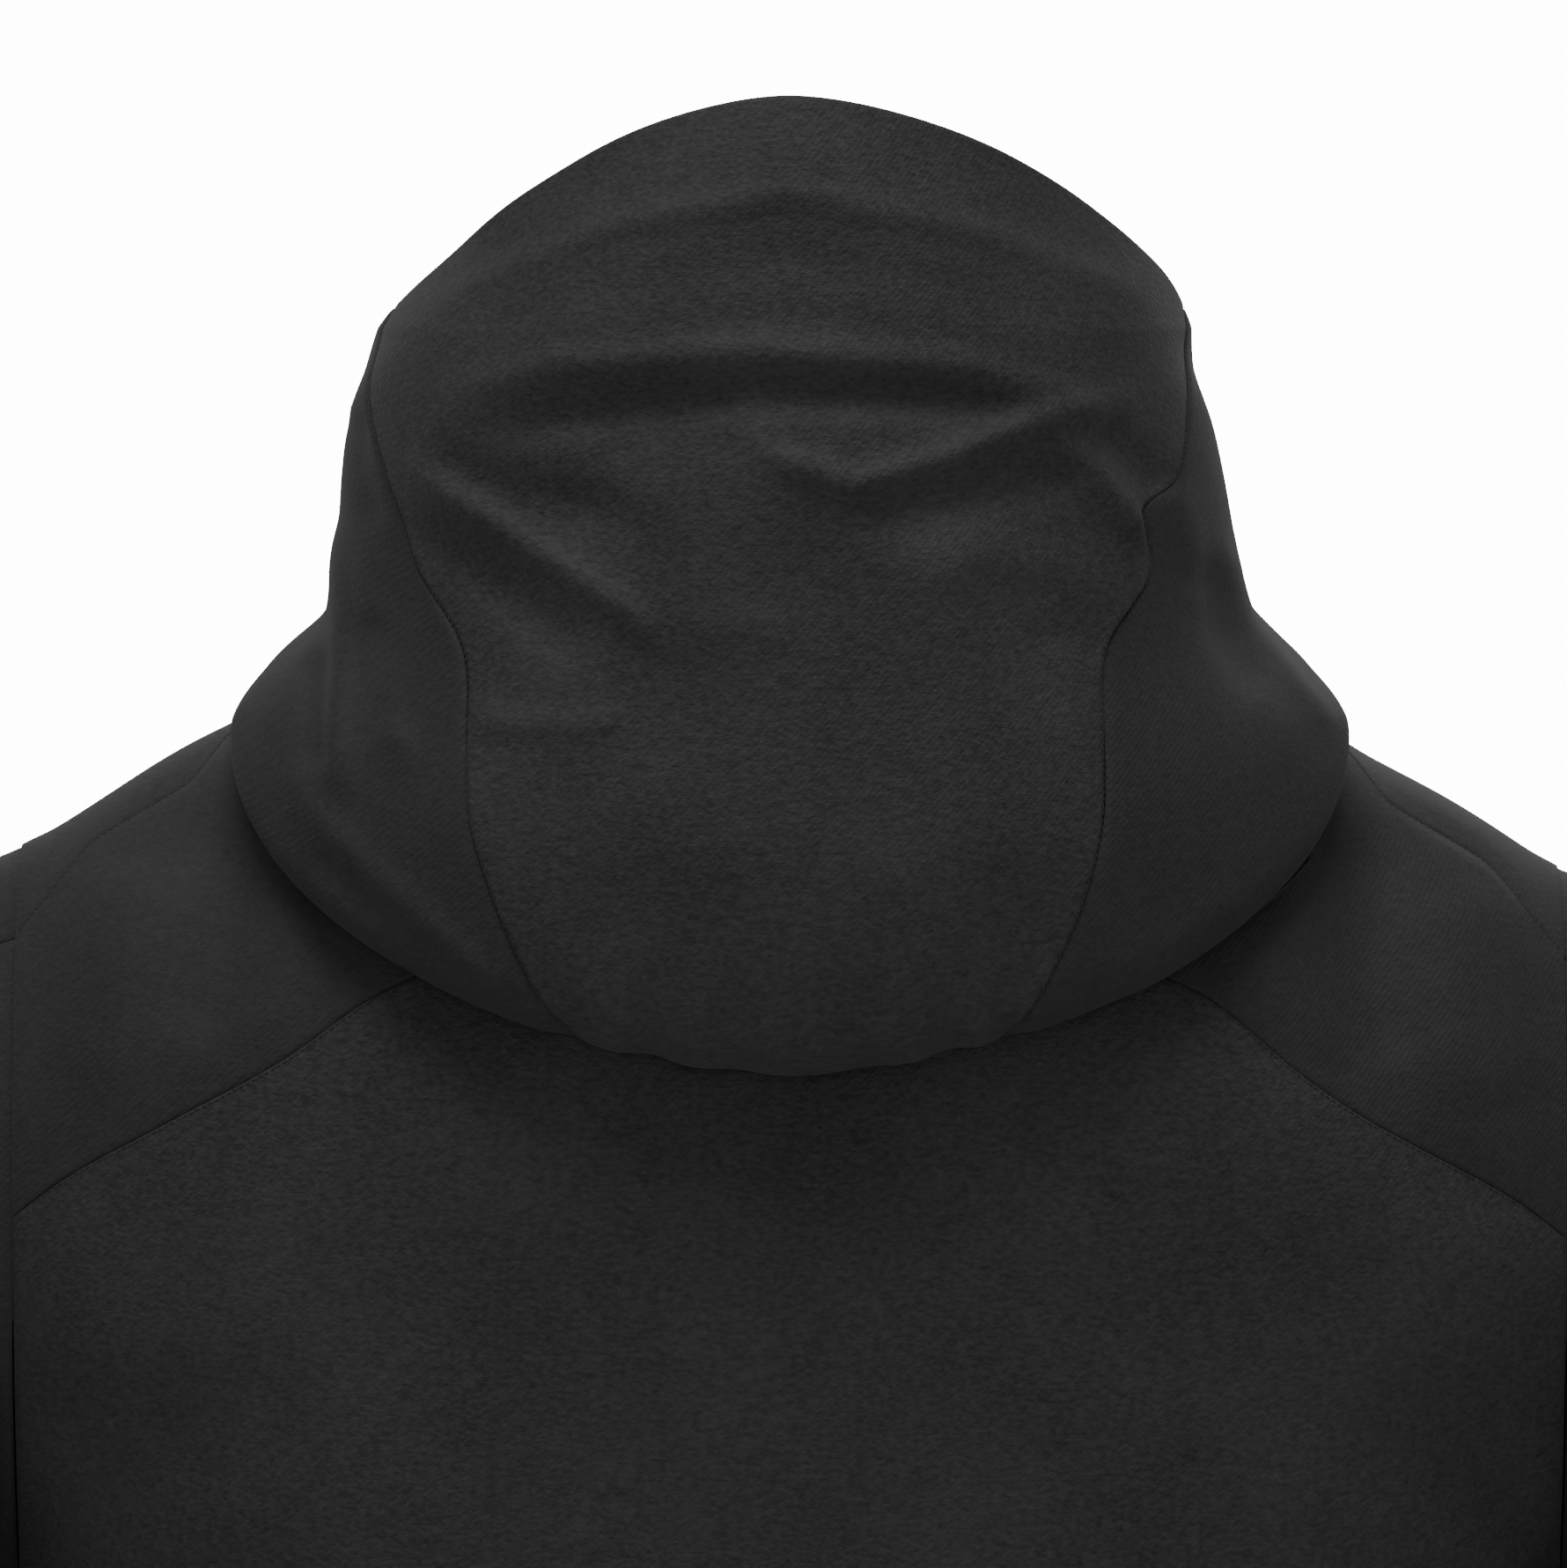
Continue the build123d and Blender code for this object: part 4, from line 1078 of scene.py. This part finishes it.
# ---------------------------------------------------------------- hood
# Folds as (line across and up from the neck seam, half width, height), all in mm
HOOD_FOLDS = (
    # ridge under the brim and the soft band below it
    ([(110, 76), (86, 94), (49, 110), (0, 119), (-49, 109), (-84, 95), (-106, 80)], 4.0, 1.9),
    ([(100, 70), (60, 92), (0, 103), (-60, 91), (-100, 70)], 6, -1.1),
    # broad hollow under the band with a crisp upper lip
    ([(92, 63), (60, 74), (10, 78), (-45, 74), (-90, 60)], 5.0, 3.4),
    ([(84, 54), (40, 64), (5, 66), (-30, 66), (-70, 62)], 5.5, -4.6),
    ([(60, 52), (30, 56), (0, 56), (-20, 58)], 9, -2.6),
    # bright fold on the right that climbs to the side seam
    ([(12, 60), (5, 51), (-17, 43), (-42, 50), (-64, 59), (-94, 66)], 4.4, 4.4),
    ([(-16, 32), (-50, 39), (-72, 45), (-86, 50)], 6.5, -3.4),
    ([(-70, 56), (-82, 46), (-94, 33), (-99, 26)], 4.4, 4.6),
    ([(-84, 60), (-96, 48), (-103, 40)], 4.5, -3.2),
    # long diagonal from the left seam towards the middle
    ([(102, 50), (92, 42), (69, 26), (46, 12), (32, 0)], 4.6, 4.4),
    ([(104, 36), (90, 24), (70, 10), (52, -4)], 7, -3.6),
    ([(96, 50), (76, 42), (56, 38), (36, 34)], 7, -2.6),
    ([(64, 40), (44, 30), (24, 18)], 9, -2.0),
    # shorter creases on both sides
    ([(86, -16), (72, -20), (56, -20), (40, -17)], 3.8, 1.8),
    ([(30, 4), (14, 8), (-2, 4)], 6, 1.5),
    ([(-90, 12), (-72, 22), (-52, 24), (-30, 16)], 6.5, 2.0),
    ([(-88, -2), (-74, 4), (-62, 2)], 5, -1.6),
)
LEFT_SIDE_FOLDS = (
    ([(124, 34), (121, 10), (119, -14), (118, -42)], 4.0, 3.6),
    ([(117, 30), (112, 2), (106, -16), (98, -34)], 4.0, 2.6),
    ([(128, 0), (126, -16), (125, -34)], 5.0, -3.2),
    ([(113, 10), (109, -8), (104, -24)], 4.0, -2.6),
    ([(134, -30), (121, -47), (108, -60), (88, -77), (68, -95)], 4.6, 2.6),
    ([(126, -52), (108, -70), (90, -84)], 5.0, -2.4),
    ([(112, 62), (114, 46), (112, 30)], 4.0, -2.0),
)
RIGHT_SIDE_FOLDS = (
    ([(118, 30), (126, 6), (136, -12), (146, -26)], 3.6, 2.6),
    ([(112, 24), (118, 4), (126, -14)], 6.0, -2.4),
    ([(104, 44), (110, 26), (112, 6)], 5.0, 1.8),
    ([(120, -62), (104, -76), (84, -90)], 6.0, 1.6),
)


def fold_sum(x, z, folds):
    return sum(stroke(x, z, points, width, height) for points, width, height in folds)


def hood_folds(p):
    """The folds of the hood as it lies; the part round the neck stays smooth."""
    back = ease((p[..., 1] - 20) / 40)
    return FOLD_SHARE * fold_sum(p[..., 0], p[..., 2], HOOD_FOLDS) * back


def side_hood_folds(p, k):
    """Ridges on the side panels; the left one is busier than the right."""
    return fold_sum(p[..., 0] * k, p[..., 2], LEFT_SIDE_FOLDS if k > 0 else RIGHT_SIDE_FOLDS)


HEM_TUCK = 0.055
# small tucks in the lower edge: place across, width and depth in mm
TUCKS = ((57, 5.0, 2.2), (36, 6.0, 2.6), (14, 7.0, 1.6), (-20, 8.0, 1.5), (-42, 5.5, 2.8), (-56, 4.5, 2.0))


def hood_edge(p, t):
    """Turn the lowest part of the hood under, towards the back panel, with small scallops."""
    low = np.clip(1 - t / HEM_TUCK, 0, 1) ** 2
    x = p[..., 0]
    q = p.copy()
    q[..., 1] -= 7.0 * low * ease((p[..., 1] - 55) / 30)
    q[..., 2] += 2.5 * low
    near = np.exp(-((t - 0.03) / 0.05) ** 2)
    for at, wide, deep in TUCKS:
        tuck = np.exp(-((x - at) / wide) ** 2) * near
        q[..., 2] += 0.8 * deep * tuck
        q[..., 1] -= 1.5 * deep * tuck
    return q


SEAM_T = [0, 0.08, 0.2, 0.35, 0.44, 0.5, 0.56, 0.7, 0.88, 1.0]
SEAM_LEFT = [68, 63, 54.5, 46, 35.5, 32.5, 29, 22, 14, 9]
SEAM_RIGHT = [68, 63, 55, 48, 37, 38.3, 29.5, 22, 14, 9]


def seam_phi(t, k=1):
    return curve(SEAM_T, SEAM_LEFT if k > 0 else SEAM_RIGHT, t)


def hood_centre_fn(u, v):
    t = np.asarray(v, float)
    return hood_edge(hood(mix(seam_phi(t), 180 - seam_phi(t, -1), np.asarray(u, float)), t), t)


def brim_stiff_fn(u, v):
    t = mix(0.905, 0.985, np.asarray(v, float))
    return hood(mix(24.0, 156.0, np.asarray(u, float)), t)


def hood_side_fn(k):
    def fn(u, v):
        v = np.asarray(v, float)
        return hood_edge(hood(mix(HOOD_END, seam_phi(v, k), np.asarray(u, float)), v), v)
    return fn


HOOD_HEART = np.array([0.0, 20.0, 0.0])


def build_hood():
    def centre_shape(p, u, v):
        soft = 0.7 * ripples(p[..., 0], p[..., 2], 81, 70, 80)
        return hood_folds(p) * ease(np.minimum(u, 1 - u) / 0.03 + 0.25) + soft * ease(v / 0.1)

    centre = slab("hood_centre", hood_centre_fn, 170, 190, HOOD_HEART, shape=centre_shape,
                  roll=(0.8, 0.8, 0.3, 0.9), gap=(0, 0, 0.12, 0.12), settle=hood_trim)
    dress(centre, CREPE, "hood", ["hood_center_panel", "hood_brim"])
    stiff = slab("brim_stiffening", brim_stiff_fn, 120, 8, HOOD_HEART, thick=0.6, lift=-1.5,
                 shape=lambda p, u, v: hood_folds(p), settle=hood_trim)
    dress(stiff, PLASTIC, "hood", ["hood_brim_stiffener"])
    for side, k in SIDES:
        def shape(p, u, v, k=k):
            return SIDE_FOLD_SHARE * side_hood_folds(p, k) * ease((1 - u) / 0.05 + 0.2)
        obj = slab("hood_side_cloth_" + side, mirror_of(hood_side_fn(k), k), 120, 140, HOOD_HEART,
                   shape=shape, roll=(0.6, 0.8, 0.3, 0.9), gap=(0.12, 0, 0.12, 0.12), settle=hood_trim)
        dress(obj, SMOOTH, "hood", ["hood_side_" + side])


def hood_under_fn(u, v):
    """Layer that runs from the hood's lower edge back up to the neck seam."""
    u, v = grid(u, v)
    phi = mix(20.0, 160.0, u)
    edge = hood_edge(hood(phi, 0 * phi), 0 * phi)
    x1, a1 = neck_xa(mix(12.0, 168.0, u))
    x = mix(edge[..., 0], x1, v)
    z0 = np.minimum(edge[..., 2], ridge(edge[..., 0]) - 4)
    a0 = arch_angle(edge[..., 0], z0)
    on_back = arch(x, mix(a0, a1 - 1.0, v))
    out = unit(on_back - np.array([0, -20, -140.0]))
    lifted = on_back + out * mix(3.0, 2.4, v)[..., None]
    return mix(edge - np.array([0, 1.5, -1.0]), lifted, ease(v / 0.16)[..., None])


def build_hood_under():
    obj = slab("hood_underlayer", hood_under_fn, 120, 50, np.array([0, 0, -80.0]), thick=0.8,
               roll=(0, 0, 0, 0))
    dress(obj, SMOOTH, None, ["hood_neck_gusset"])
    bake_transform(obj)


# ---------------------------------------------------------------- finishes of the kept CAD pieces
def finish_frame():
    kept = {
        "lining_fabric": LINING, "zip_tape": TAPE, "seam_film": FILM,
        "hard_plastic": PLASTIC, "coated_metal": METAL, "shell_fabric": SMOOTH,
    }
    for name, obj in frame["nodes"].items():
        slot = next(s["material_slot"] for s in frame["record"]["subparts"] if s["node"] == name)
        mat = HOOKS if "loop_patch" in name else kept[slot]
        obj.data.materials.clear()
        obj.data.materials.append(mat)


# ---------------------------------------------------------------- stage
def flat(name, corners, material):
    mesh = bpy.data.meshes.new(name)
    mesh.from_pydata(corners, [], [(0, 1, 2, 3)])
    obj = add_object(name, mesh)
    mat = bpy.data.materials.new(material)
    mat.use_nodes = True
    obj.data.materials.append(mat)
    return mat.node_tree.nodes["Principled BSDF"].inputs


def build_stage():
    size = 12.0
    z = HEM_Z * MM - 0.012
    pale = flat("floor", [(-size, -size, z), (size, -size, z), (size, size, z), (-size, size, z)],
                "pale_floor")
    pale["Base Color"].default_value = (0.86, 0.86, 0.86, 1)
    pale["Roughness"].default_value = 0.9
    # lit white backdrop far behind the jacket
    y, half, low, high = -40.0, 2.8, -2.6, 1.6
    glow = flat("backdrop", [(-half, y, low), (half, y, low), (half, y, high), (-half, y, high)],
                "lit_backdrop")
    glow["Emission Color"].default_value = (1, 1, 1, 1)
    glow["Emission Strength"].default_value = 14.0


def area_light(name, place, target, size, power):
    data = bpy.data.lights.new(name, "AREA")
    data.shape = "RECTANGLE"
    data.size, data.size_y = size
    data.energy = power
    obj = add_object(name, data)
    obj.location = place
    obj.rotation_euler = (Vector(target) - Vector(place)).to_track_quat("-Z", "Y").to_euler()


def build_light_and_camera():
    world = bpy.data.worlds.new("white_studio")
    bpy.context.scene.world = world
    world.use_nodes = True
    sky = world.node_tree.nodes["Background"]
    sky.inputs["Color"].default_value = (1, 1, 1, 1)
    sky.inputs["Strength"].default_value = 0.6
    area_light("top_soft", (0.15, 0.7, 2.2), (0, 0.05, 0.0), (1.5, 0.9), 74.0)
    area_light("front_soft", (-0.4, -2.2, 1.2), (0, 0, -0.3), (2.0, 1.6), 16.0)
    area_light("back_soft", (0.5, 3.4, 0.7), (0, 0, -0.2), (2.2, 2.2), 12.0)
    data = bpy.data.cameras.new("camera")
    data.sensor_width = 36.0
    view_width, distance = 0.414, 5.0
    data.lens = data.sensor_width * distance / view_width
    data.clip_end = 60.0
    cam = add_object("camera", data)
    aim = Vector((0.0016, 0.06, -0.037))
    lift = 2.0 * DEG
    cam.location = aim + Vector((0, math.cos(lift), math.sin(lift))) * distance
    cam.rotation_euler = (aim - cam.location).to_track_quat("-Z", "Y").to_euler()
    bpy.context.scene.camera = cam


build_torso()
build_sleeves()
build_collar()
build_hood()
build_hood_under()
build_facings()
build_cuffs()
build_zip_cover()
build_stitches()
finish_frame()
build_stage()
build_light_and_camera()
